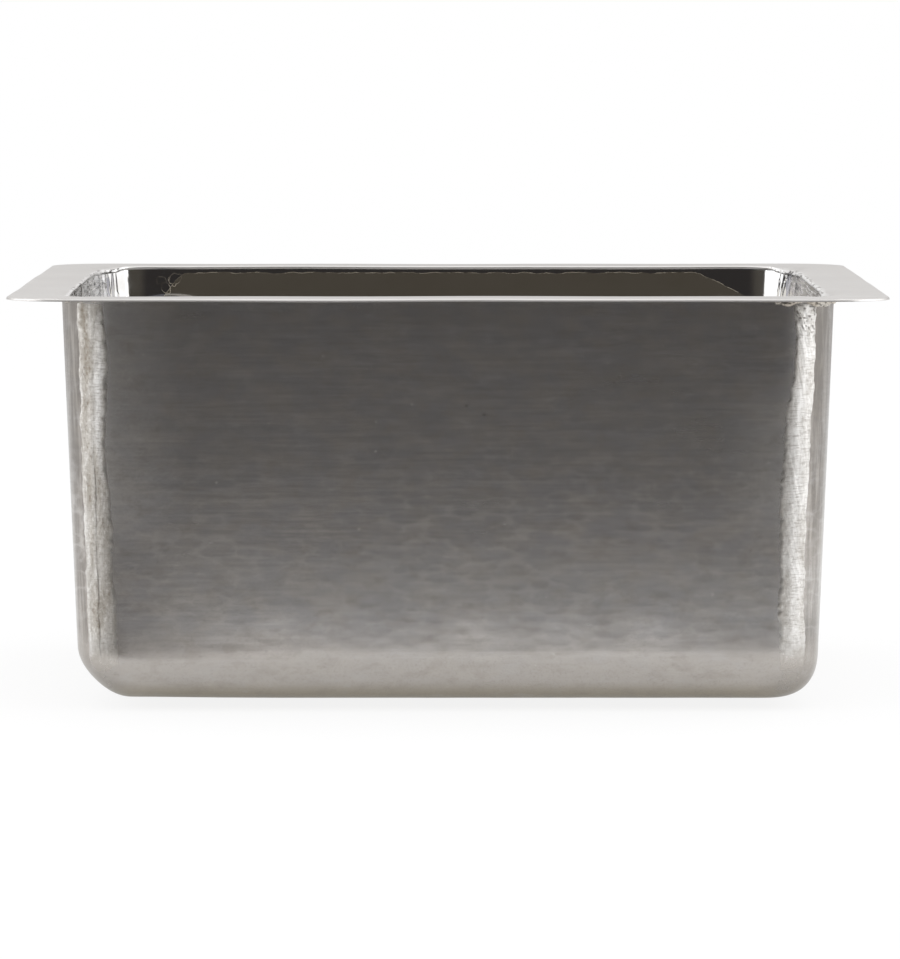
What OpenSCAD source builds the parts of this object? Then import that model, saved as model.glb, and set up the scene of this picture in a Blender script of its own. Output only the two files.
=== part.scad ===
// Bar prep sink: a square hammered sheet bowl, hung from a flat welded rim.
// Millimetres. The centre of the drain hole is on the Z axis, +Z is up, and the front is at -Y.
// Z = 0 is the underside of the drain seat, which is the lowest face.

/* [Rim] */
// Length of the rim, left to right
rim_length = 381; // [300:1:600]
// Width of the rim, front to back
rim_width = 381; // [300:1:600]
// Reach of the rim, from its outer edge in to the edge of the opening
rim_reach = 27; // [20:0.5:45]
// Radius of the outer corners of the rim
rim_corner_radius = 25; // [8:1:45]
// Thickness of the rim plate
rim_thickness = 1.2; // [1:0.1:1.4]

/* [Lip] */
// Width of the lip, from the edge of the opening to the back of the wall
lip_width = 4.6; // [3:0.1:7]
// Height of the lip
lip_height = 1.6; // [1.5:0.1:3]

/* [Bowl] */
// Depth of the bowl, from the top of the rim to the underside of the floor
bowl_depth = 177; // [130:1:250]
// Thickness of the bowl sheet
sheet_thickness = 1.2; // [0.9:0.1:2]
// Lean of the walls away from upright, in degrees
wall_draft = 2.3; // [0.5:0.1:5]
// Outer radius of the bends and ball corners round the floor
bottom_radius = 24; // [16:1:40]

/* [Drain] */
// Radius of the drain hole
drain_hole_radius = 44.45; // [38:0.05:57]
// Width of the flat seat round the drain hole
drain_seat_width = 10; // [7:0.5:15]
// Depth of the drain seat below the floor
drain_recess_depth = 4; // [2.5:0.5:8]
// Width of the sloping side of the drain recess
drain_slope_width = 5; // [3:0.5:9]
// Width of the level edge that is let into the floor
drain_edge_width = 6; // [4:0.5:10]

/* [Welds] */
// Width of the bevel under the rim that takes the weld
rim_bevel_width = 1.4; // [1:0.1:2]
// Height of that bevel
rim_bevel_height = 0.6; // [0.4:0.1:0.8]
// Length of the weld down the wall, under the rim
rim_weld_leg = 3; // [2:0.5:6]
// Height of the filed corner welds above the sheet
corner_weld_height = 0.4; // [0.2:0.1:0.8]
// Angle that a filed corner weld takes up round its corner
corner_weld_angle = 28; // [12:1:40]
// Angle from the side of the bowl to the middle of a corner weld
corner_weld_place = 51; // [35:1:55]
// Radius of the bead round the drain recess
drain_weld_radius = 1.2; // [0.6:0.1:2]

/* [Hidden] */
$fn = 96;
// Part of the bevel that the rim weld leaves empty, so that the rim lies flat on a worktop
bevel_margin = 0.3;
// Swell of the rim weld beyond a straight face, as a share of its length down the wall
weld_swell_share = 0.12;
// Share of the bottom radius that the corner welds run down past the ball's centre
corner_weld_drop_share = 0.75;
// Room that a cutting shape has beyond what it cuts
cut_margin = 1;

floor_underside = drain_recess_depth;
rim_top = floor_underside + bowl_depth;
wall_top = rim_top - lip_height;
rim_underside = rim_top - rim_thickness;

// The bends and ball corners are rounded about this height, and meet the leaning walls at the seam
bend_centre = floor_underside + bottom_radius;
seam_height = bend_centre - bottom_radius * sin(wall_draft);

// Distances outward from the corner axes, on which the whole bowl is set out
function wall_outside(z) = bottom_radius / cos(wall_draft) + (z - bend_centre) * tan(wall_draft);
wall_level_thickness = sheet_thickness / cos(wall_draft);

// Lengths that several pieces are cut to are kept to a hundredth, so that their faces meet
function to_hundredth(length) = round(length * 100) / 100;
top_corner_radius = to_hundredth(wall_outside(wall_top));
lip_edge = top_corner_radius - lip_width;

// Places of the four upright corner axes
corner_x = to_hundredth(rim_length / 2 - rim_reach - lip_edge);
corner_y = to_hundredth(rim_width / 2 - rim_reach - lip_edge);

drain_seat_radius = drain_hole_radius + drain_seat_width;
drain_slope_radius = drain_seat_radius + drain_slope_width;
drain_edge_radius = drain_slope_radius + drain_edge_width;
// The sloping side keeps the sheet's thickness when its underside is moved out by this much
drain_slope_angle = atan(drain_recess_depth / drain_slope_width);
drain_slope_shift = to_hundredth(sheet_thickness * tan(drain_slope_angle / 2));

rim_colour = [0.74, 0.72, 0.70];
lip_colour = [0.80, 0.78, 0.76];
wall_colour = [0.46, 0.44, 0.41];
corner_colour = [0.56, 0.54, 0.51];
bend_colour = [0.62, 0.60, 0.55];
ball_colour = [0.66, 0.63, 0.58];
floor_colour = [0.58, 0.55, 0.50];
filed_colour = [0.80, 0.78, 0.75];
weld_colour = [0.70, 0.66, 0.60];

// The children of the sweeping modules are flat outlines: x is the distance outward from the
// corner axes, and y is the height.

// Sweeps an outline along the straight of the front (-1) or the back (1)
module sweep_front_or_back(side) {
    mirror([0, side < 0 ? 1 : 0, 0])
        translate([0, corner_y, 0])
            rotate([90, 0, 90])
                linear_extrude(2 * corner_x, center = true)
                    children();
}

// Sweeps an outline along the straight of the left (-1) or the right (1)
module sweep_left_or_right(side) {
    mirror([side < 0 ? 1 : 0, 0, 0])
        translate([corner_x, 0, 0])
            rotate([90, 0, 0])
                linear_extrude(2 * corner_y, center = true)
                    children();
}

// Puts its children at one corner, as if it were the back right one
module at_corner(side_x, side_y) {
    mirror([side_x < 0 ? 1 : 0, 0, 0])
        mirror([0, side_y < 0 ? 1 : 0, 0])
            translate([corner_x, corner_y, 0])
                children();
}

// Turns an outline through the quarter circle of one corner
module sweep_corner(side_x, side_y) {
    at_corner(side_x, side_y)
        rotate_extrude(angle = 90)
            children();
}

// Sweeps an outline all the way round the bowl
module sweep_round() {
    for (side = [-1, 1]) {
        sweep_front_or_back(side) children();
        sweep_left_or_right(side) children();
        for (side_y = [-1, 1])
            sweep_corner(side, side_y) children();
    }
}

// A rectangular block with round upright corners, centred on the Z axis
module rounded_block(length, width, radius, low, high) {
    translate([0, 0, low])
        linear_extrude(high - low)
            union() {
                square([length - 2 * radius, width], center = true);
                square([length, width - 2 * radius], center = true);
                for (side_x = [-1, 1], side_y = [-1, 1])
                    translate([side_x * (length / 2 - radius), side_y * (width / 2 - radius)])
                        circle(radius);
            }
}

// Outline of the leaning sheet, from the seam up to the lip
module wall_outline() {
    polygon([
        [wall_outside(seam_height), seam_height],
        [wall_outside(wall_top), wall_top],
        [wall_outside(wall_top) - wall_level_thickness, wall_top],
        [wall_outside(seam_height) - wall_level_thickness, seam_height]
    ]);
}

// Outline of the bent sheet, from the floor up to the seam
module bend_outline() {
    intersection() {
        translate([0, bend_centre])
            difference() {
                circle(bottom_radius);
                circle(bottom_radius - sheet_thickness);
            }
        translate([0, floor_underside - cut_margin])
            square([bottom_radius + cut_margin, seam_height - floor_underside + cut_margin]);
    }
}

// The bowl's outer outline as a solid, from the corner axis out, grown by an amount
module grown_bowl_outline(growth) {
    grown_radius = bottom_radius + growth;
    grown_seam = bend_centre - grown_radius * sin(wall_draft);
    level_growth = growth / cos(wall_draft);
    polygon([
        [0, grown_seam],
        [wall_outside(grown_seam) + level_growth, grown_seam],
        [wall_outside(wall_top) + level_growth, wall_top],
        [0, wall_top]
    ]);
    intersection() {
        translate([0, bend_centre]) circle(grown_radius);
        translate([0, bend_centre - grown_radius]) square([grown_radius, 2 * grown_radius]);
    }
}

// Outline of a filed weld on the outside of a corner: up the leaning sheet and round the bend
module corner_weld_outline() {
    weld_top = rim_underside - rim_weld_leg;
    weld_bottom = bend_centre - bottom_radius * corner_weld_drop_share;
    intersection() {
        difference() {
            grown_bowl_outline(corner_weld_height);
            grown_bowl_outline(0);
        }
        translate([0, weld_bottom])
            square([2 * top_corner_radius, weld_top - weld_bottom]);
    }
}

// Outline of the bead that joins the rim to the wall
module rim_weld_outline() {
    bead_width = rim_bevel_width - bevel_margin;
    bead_rise = rim_bevel_height * bevel_margin / rim_bevel_width;
    bead_bottom = rim_underside - rim_weld_leg;
    face_middle = [
        (top_corner_radius + bead_width + wall_outside(bead_bottom)) / 2,
        (rim_underside + bead_rise + bead_bottom) / 2
    ];
    swell = weld_swell_share * rim_weld_leg;
    polygon([
        [top_corner_radius, rim_underside + rim_bevel_height],
        [top_corner_radius + bead_width, rim_underside + bead_rise],
        [face_middle.x + swell, face_middle.y],
        [wall_outside(bead_bottom), bead_bottom],
        [wall_outside(wall_top), wall_top]
    ]);
}

// A straight of the sheet wall, a corner of it, and the same two round the floor
module front_or_back_wall(side) {
    color(wall_colour) sweep_front_or_back(side) wall_outline();
}

module left_or_right_wall(side) {
    color(wall_colour) sweep_left_or_right(side) wall_outline();
}

module wall_corner(side_x, side_y) {
    color(corner_colour) sweep_corner(side_x, side_y) wall_outline();
}

module front_or_back_bend(side) {
    color(bend_colour) sweep_front_or_back(side) bend_outline();
}

module left_or_right_bend(side) {
    color(bend_colour) sweep_left_or_right(side) bend_outline();
}

module ball_corner(side_x, side_y) {
    color(ball_colour) sweep_corner(side_x, side_y) bend_outline();
}

// The filed weld runs up its corner, a little nearer to the front or back than to the side
module corner_weld(side_x, side_y) {
    color(filed_colour)
        at_corner(side_x, side_y)
            rotate([0, 0, corner_weld_place - corner_weld_angle / 2])
                rotate_extrude(angle = corner_weld_angle)
                    corner_weld_outline();
}

// The flat frame round the bowl, bevelled underneath for its weld
module rim_flange() {
    bowl_length = 2 * (corner_x + top_corner_radius);
    bowl_width = 2 * (corner_y + top_corner_radius);
    color(rim_colour)
        difference() {
            rounded_block(rim_length, rim_width, rim_corner_radius, rim_underside, rim_top);
            rounded_block(
                bowl_length, bowl_width, top_corner_radius,
                rim_underside - cut_margin, rim_top + cut_margin
            );
            sweep_round()
                polygon([
                    [top_corner_radius, rim_underside],
                    [top_corner_radius + rim_bevel_width, rim_underside],
                    [top_corner_radius, rim_underside + rim_bevel_height]
                ]);
        }
}

// The half-round edge of the opening, on top of the walls and level with the rim
module rim_lip() {
    nose_radius = lip_height / 2;
    color(lip_colour)
        sweep_round()
            union() {
                translate([lip_edge + nose_radius, wall_top])
                    square([lip_width - nose_radius, lip_height]);
                translate([lip_edge + nose_radius, wall_top + nose_radius])
                    circle(nose_radius);
            }
}

module rim_weld() {
    color(weld_colour) sweep_round() rim_weld_outline();
}

// The flat of the floor, with the round hole that takes the drain recess
module floor_plate() {
    color(floor_colour)
        difference() {
            translate([-corner_x, -corner_y, floor_underside])
                cube([2 * corner_x, 2 * corner_y, sheet_thickness]);
            translate([0, 0, floor_underside - cut_margin])
                cylinder(r = drain_edge_radius, h = sheet_thickness + 2 * cut_margin);
        }
}

// The sloping side of the drain recess, with the level edge that is let into the floor
module drain_slope() {
    color(floor_colour)
        rotate_extrude()
            polygon([
                [drain_seat_radius + drain_slope_shift, 0],
                [drain_slope_radius + drain_slope_shift, floor_underside],
                [drain_edge_radius, floor_underside],
                [drain_edge_radius, floor_underside + sheet_thickness],
                [drain_slope_radius, floor_underside + sheet_thickness],
                [drain_seat_radius, sheet_thickness]
            ]);
}

// The flat bottom of the drain recess, round the drain hole
module drain_seat() {
    color(floor_colour)
        rotate_extrude()
            polygon([
                [drain_hole_radius, 0],
                [drain_seat_radius + drain_slope_shift, 0],
                [drain_seat_radius, sheet_thickness],
                [drain_hole_radius, sheet_thickness]
            ]);
}

// The half-round bead under the joint between the recess and the floor
module drain_weld() {
    color(weld_colour)
        rotate_extrude()
            intersection() {
                translate([drain_edge_radius, floor_underside])
                    circle(drain_weld_radius);
                translate([drain_edge_radius - 2 * drain_weld_radius, 0])
                    square([4 * drain_weld_radius, floor_underside]);
            }
}

rim_flange();
rim_lip();
rim_weld();
front_or_back_wall(-1);  // front_wall
front_or_back_wall(1);  // back_wall
left_or_right_wall(-1);  // left_wall
left_or_right_wall(1);  // right_wall
wall_corner(-1, -1);  // front_left_corner
wall_corner(1, -1);  // front_right_corner
wall_corner(-1, 1);  // back_left_corner
wall_corner(1, 1);  // back_right_corner
corner_weld(-1, -1);  // front_left_corner_weld
corner_weld(1, -1);  // front_right_corner_weld
corner_weld(-1, 1);  // back_left_corner_weld
corner_weld(1, 1);  // back_right_corner_weld
front_or_back_bend(-1);  // front_bottom_bend
front_or_back_bend(1);  // back_bottom_bend
left_or_right_bend(-1);  // left_bottom_bend
left_or_right_bend(1);  // right_bottom_bend
ball_corner(-1, -1);  // front_left_ball_corner
ball_corner(1, -1);  // front_right_ball_corner
ball_corner(-1, 1);  // back_left_ball_corner
ball_corner(1, 1);  // back_right_ball_corner
floor_plate();
drain_slope();
drain_seat();
drain_weld();
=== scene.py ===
"""Looks of a square bar prep sink: a hammered sheet-metal bowl under a flat welded rim.

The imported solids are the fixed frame. Each of them is stood for by a detailed mesh in the same
place. Sizes in the classes are in millimetres, and the finished meshes are in metres.
"""

import logging
import math
from dataclasses import dataclass, field
from enum import Enum
from typing import Any

import bpy
import numpy as np
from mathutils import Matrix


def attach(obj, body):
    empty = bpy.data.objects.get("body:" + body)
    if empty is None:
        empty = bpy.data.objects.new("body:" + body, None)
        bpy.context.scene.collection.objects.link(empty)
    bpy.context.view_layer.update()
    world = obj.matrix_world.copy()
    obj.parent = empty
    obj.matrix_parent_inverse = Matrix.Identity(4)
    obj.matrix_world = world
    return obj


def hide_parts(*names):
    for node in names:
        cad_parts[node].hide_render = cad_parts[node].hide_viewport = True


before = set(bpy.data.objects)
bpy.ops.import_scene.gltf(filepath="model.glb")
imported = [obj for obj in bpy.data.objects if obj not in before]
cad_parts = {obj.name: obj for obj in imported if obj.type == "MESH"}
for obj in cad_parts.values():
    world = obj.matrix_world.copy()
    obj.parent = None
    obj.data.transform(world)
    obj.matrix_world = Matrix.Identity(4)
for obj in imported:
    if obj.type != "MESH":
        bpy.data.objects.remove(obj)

LOG = logging.getLogger("sink")
MM = 0.001
BODY = "root"
Array = np.ndarray
Span = tuple[float, float]
Triple = tuple[float, float, float]
Colour = Triple
Zone = tuple[tuple[str, Span], ...]
BLACK: Colour = (0.0, 0.0, 0.0)
LIGHT: Colour = (0.97, 0.96, 0.94)
BALL_SHADE: Colour = (0.28, 0.262, 0.24)
KNOTS = 4096


class Slot(Enum):
    """Material slots of the record."""

    SATIN = "satin_metal"
    HAMMERED = "hammered_metal"
    FILED = "filed_metal"
    WELD = "weld_metal"


class Skin(Enum):
    """The two faces of a sheet, and the cut edge between them."""

    OUTSIDE = 0
    INSIDE = 1
    EDGE = 2


# Node trees


@dataclass(frozen=True)
class Wire:
    """One output socket of a node tree, with arithmetic.

    Values go through Math nodes and vectors through Vector Math nodes.
    """

    net: "Net"
    socket: Any

    @property
    def is_vector(self) -> bool:
        """Whether the socket carries a vector or a colour."""
        return self.socket.type in ("VECTOR", "RGBA")

    def _math(self, operation: str, first: Any, second: Any = None) -> "Wire":
        """Adds one Math or Vector Math node.

        Args:
            operation: The node's operation.
            first: Its first input, a number or a wire.
            second: Its second input, if it has one.

        Returns:
            The node's result.
        """
        vector = any(isinstance(part, Wire) and part.is_vector for part in (first, second))
        kind = "ShaderNodeVectorMath" if vector else "ShaderNodeMath"
        sockets = {0: first}
        if second is not None:
            sockets[1] = second
        if vector:
            sockets = {
                key: (part,) * 3 if isinstance(part, (int, float)) else part
                for key, part in sockets.items()
            }
        return self.net.wire(kind, {"operation": operation}, sockets)

    def __add__(self, other: Any) -> "Wire":
        """Sum."""
        return self._math("ADD", self, other)

    def __radd__(self, other: Any) -> "Wire":
        """Sum with a number on the left."""
        return self._math("ADD", other, self)

    def __sub__(self, other: Any) -> "Wire":
        """Difference."""
        return self._math("SUBTRACT", self, other)

    def __rsub__(self, other: Any) -> "Wire":
        """Difference with a number on the left."""
        return self._math("SUBTRACT", other, self)

    def __mul__(self, other: Any) -> "Wire":
        """Product."""
        return self._math("MULTIPLY", self, other)

    def __truediv__(self, other: Any) -> "Wire":
        """Quotient."""
        return self._math("DIVIDE", self, other)

    def __abs__(self) -> "Wire":
        """Size without its sign."""
        return self._math("ABSOLUTE", self)

    def power(self, exponent: float) -> "Wire":
        """The value raised to an exponent."""
        return self._math("POWER", self, exponent)

    def least(self, other: Any) -> "Wire":
        """The smaller of two values."""
        return self._math("MINIMUM", self, other)

    def most(self, other: Any) -> "Wire":
        """The larger of two values."""
        return self._math("MAXIMUM", self, other)

    def dot(self, other: "Wire") -> "Wire":
        """Dot product with another vector."""
        settings = {"operation": "DOT_PRODUCT"}
        return self.net.wire("ShaderNodeVectorMath", settings, {0: self, 1: other}, "Value")

    def ramp(self, low: float, high: float, first: float = 0.0, last: float = 1.0) -> "Wire":
        """Maps a range of the value smoothly onto another range, and holds it at the ends.

        Args:
            low: Value that gives first.
            high: Value that gives last.
            first: Result at low.
            last: Result at high.

        Returns:
            The mapped value.
        """
        return self.net.wire(
            "ShaderNodeMapRange",
            {"interpolation_type": "SMOOTHSTEP"},
            {"Value": self, "From Min": low, "From Max": high, "To Min": first, "To Max": last},
        )


class Net:
    """Builds a node tree, one node at a time."""

    def __init__(self, tree: Any) -> None:
        """Keeps the tree that the nodes go into.

        Args:
            tree: A material's or a Geometry Nodes tree.
        """
        self.tree = tree

    @staticmethod
    def _find(sockets: Any, key: Any) -> Any:
        """Finds a socket by place, identifier or name."""
        if isinstance(key, int):
            return sockets[key]
        for socket in sockets:
            if socket.identifier == key:
                return socket
        return sockets[key]

    def node(self, kind: str, settings: dict | None = None, sockets: dict | None = None) -> Any:
        """Adds a node.

        Args:
            kind: The node's type.
            settings: Its settings, set before its sockets.
            sockets: Values or wires of its inputs, by place, identifier or name.

        Returns:
            The node.
        """
        node = self.tree.nodes.new(kind)
        for name, value in (settings or {}).items():
            setattr(node, name, value)
        for key, value in (sockets or {}).items():
            socket = self._find(node.inputs, key)
            if isinstance(value, Wire):
                self.tree.links.new(value.socket, socket)
            else:
                socket.default_value = value
        return node

    def wire(
        self, kind: str, settings: dict | None = None, sockets: dict | None = None, out: Any = None
    ) -> Wire:
        """Adds a node and gives one of its outputs.

        Args:
            kind: The node's type.
            settings: Its settings.
            sockets: Values or wires of its inputs.
            out: Place, identifier or name of the output, or None for the first one in use.

        Returns:
            The output, as a wire.
        """
        node = self.node(kind, settings, sockets)
        if out is None:
            return Wire(self, next(socket for socket in node.outputs if socket.enabled))
        return Wire(self, self._find(node.outputs, out))

    def mix(self, share: Any, first: Any, second: Any) -> Wire:
        """Mixes two colours.

        Args:
            share: Share of the second colour.
            first: A colour, as numbers or a wire.
            second: Another colour.

        Returns:
            The mixed colour.
        """
        ends = [(*end, 1.0) if isinstance(end, tuple) else end for end in (first, second)]
        return self.wire(
            "ShaderNodeMix",
            {"data_type": "RGBA", "clamp_factor": True},
            {"Factor_Float": share, "A_Color": ends[0], "B_Color": ends[1]},
            "Result_Color",
        )

    def noise(self, place: Wire, detail: float = 2.0, roughness: float = 0.5) -> Wire:
        """Noise from 0 to 1 at a place that is already scaled."""
        return self.wire(
            "ShaderNodeTexNoise",
            {"noise_dimensions": "3D"},
            {"Vector": place, "Scale": 1.0, "Detail": detail, "Roughness": roughness},
            0,
        )

    def cells(self, place: Wire, randomness: float) -> tuple[Wire, Wire, Wire]:
        """Cells round scattered points.

        Args:
            place: Where they are read, already scaled.
            randomness: How far the points stray from a grid.

        Returns:
            Distance to the nearest point, the cell's random colour, and the point.
        """
        cells = self.node(
            "ShaderNodeTexVoronoi",
            {"feature": "F1"},
            {"Vector": place, "Scale": 1.0, "Randomness": randomness},
        )
        return tuple(Wire(self, cells.outputs[name]) for name in ("Distance", "Color", "Position"))

    def rays(self) -> tuple[Wire, Wire, Wire]:
        """Tells the rays apart.

        Returns:
            Whether a ray is the camera's, a reflection's or one through a clear surface.
        """
        path = self.node("ShaderNodeLightPath")
        names = ("Is Camera Ray", "Is Glossy Ray", "Is Transmission Ray")
        return tuple(Wire(self, path.outputs[name]) for name in names)


@dataclass(frozen=True)
class Pattern:
    """A noise pattern on a piece: cycles to a metre along each axis, detail and roughness."""

    cycles: Triple
    detail: float = 2.0
    roughness: float = 0.5


@dataclass(frozen=True)
class Tint:
    """A colour laid over others, where a mask rises through a span to its full share."""

    colour: Colour
    span: Span
    share: float = 1.0


class Painter(Net):
    """A material's node tree, with what the finishes and the studio share."""

    def __init__(self, name: str) -> None:
        """Starts a material.

        Args:
            name: The material's name.
        """
        self.material = bpy.data.materials.new(name)
        self.material.use_nodes = True
        super().__init__(self.material.node_tree)
        self.tree.nodes.clear()
        self.place = self.wire("ShaderNodeTexCoord", out="Object")
        parts = self.node("ShaderNodeSeparateXYZ", sockets={0: self.place})
        self.x, self.y, self.z = (Wire(self, parts.outputs[axis]) for axis in "XYZ")

    @property
    def aside(self) -> Wire:
        """Distance to the left or right of the middle."""
        return abs(self.x)

    def pattern(self, pattern: Pattern) -> Wire:
        """A noise pattern on the piece, from 0 to 1."""
        return self.noise(self.place * pattern.cycles, pattern.detail, pattern.roughness)

    def carried(self, name: str) -> Wire:
        """A value that the mesh carries at its points."""
        return self.wire("ShaderNodeAttribute", {"attribute_name": name}, out="Fac")

    def zone(self, zone: Zone) -> Wire:
        """Finds a zone of the piece.

        Args:
            zone: Axes, each with where the zone starts and where it is full, in metres.

        Returns:
            The share of the zone, from 0 to 1.
        """
        fades = [getattr(self, axis).ramp(*span) for axis, span in zone]
        return math.prod(fades[1:], start=fades[0])

    def layered(self, colour: Any, *layers: tuple) -> Wire:
        """Lays tints over a colour, one after the other.

        Args:
            colour: The colour below.
            layers: What each tint follows, the tint, and the share that can take it, if not all.

        Returns:
            The tinted colour.
        """
        for mask, tint, *within in layers:
            share = math.prod(within, start=mask.ramp(*tint.span) * tint.share)
            colour = self.mix(share, colour, tint.colour)
        return colour

    def bumps(self, height: Wire, depth: float) -> Wire:
        """The surface direction for a height from 0 to 1.

        Args:
            height: The height.
            depth: Depth of a whole step, in metres.

        Returns:
            The direction, for a shader's Normal.
        """
        return self.wire("ShaderNodeBump", None, {"Height": height, "Strength": 1.0, "Distance": depth})

    def metal(self, colour: Wire, roughness: Wire, normal: Wire) -> bpy.types.Material:
        """Ends the tree in a metal shader.

        Args:
            colour: Base colour.
            roughness: Roughness.
            normal: Surface direction.

        Returns:
            The finished material.
        """
        sockets = {"Base Color": colour, "Roughness": roughness, "Metallic": 1.0, "Normal": normal}
        return self.shown(self.wire("ShaderNodeBsdfPrincipled", None, sockets))

    def glow(self, colour: Any) -> Wire:
        """A shader that shows a colour as it is written."""
        return self.wire("ShaderNodeEmission", None, {"Color": colour, "Strength": 1.0})

    def shown(self, surface: Wire) -> bpy.types.Material:
        """Ends the tree in any shader."""
        self.node("ShaderNodeOutputMaterial", None, {"Surface": surface})
        return self.material


# Finishes


@dataclass(frozen=True)
class SatinRim:
    """Satin finish of the flat rim, with a fine grain from left to right."""

    colour: Colour = (0.66, 0.645, 0.63)
    worn: Colour = (0.74, 0.725, 0.71)
    scuff: Tint = Tint((0.56, 0.545, 0.53), (0.55, 0.75), 0.25)
    # middle: painted shade, the rim darker across its middle
    middle: Tint = Tint((0.42, 0.405, 0.39), (0.165, 0.130), 0.25)
    nick: Tint = Tint((0.07, 0.065, 0.06), (0.56, 0.62))
    rubbed: Tint = Tint((0.97, 0.97, 0.965), (0.56, 0.50))
    grain: Pattern = Pattern((14.0, 1100.0, 1100.0), 3.0)
    clouds: Pattern = Pattern((22.0, 22.0, 22.0), 3.0)
    scuffs: Pattern = Pattern((160.0, 520.0, 160.0), 4.0)
    marks: Pattern = Pattern((620.0, 75.0, 620.0), 3.0, 0.7)
    roughness: float = 0.34
    grain_depth: float = 0.000012

    def material(self) -> bpy.types.Material:
        """Builds the material.

        Returns:
            The material.
        """
        paint = Painter("satin rim")
        grain, clouds, marks = (paint.pattern(part) for part in (self.grain, self.clouds, self.marks))
        colour = paint.mix(clouds * 0.4 + grain.ramp(0.3, 0.7) * 0.4, self.colour, self.worn)
        # painted shade across the middle of the rim
        colour = paint.layered(colour, (paint.pattern(self.scuffs), self.scuff), (paint.aside, self.middle))
        nicks = paint.carried("nicks")
        colour = paint.layered(colour, (marks, self.nick, nicks), (marks, self.rubbed, nicks))
        roughness = self.roughness + (clouds - 0.5) * 0.10 + (grain - 0.5) * 0.08
        return paint.metal(colour, roughness, paint.bumps(grain, self.grain_depth))


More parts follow.
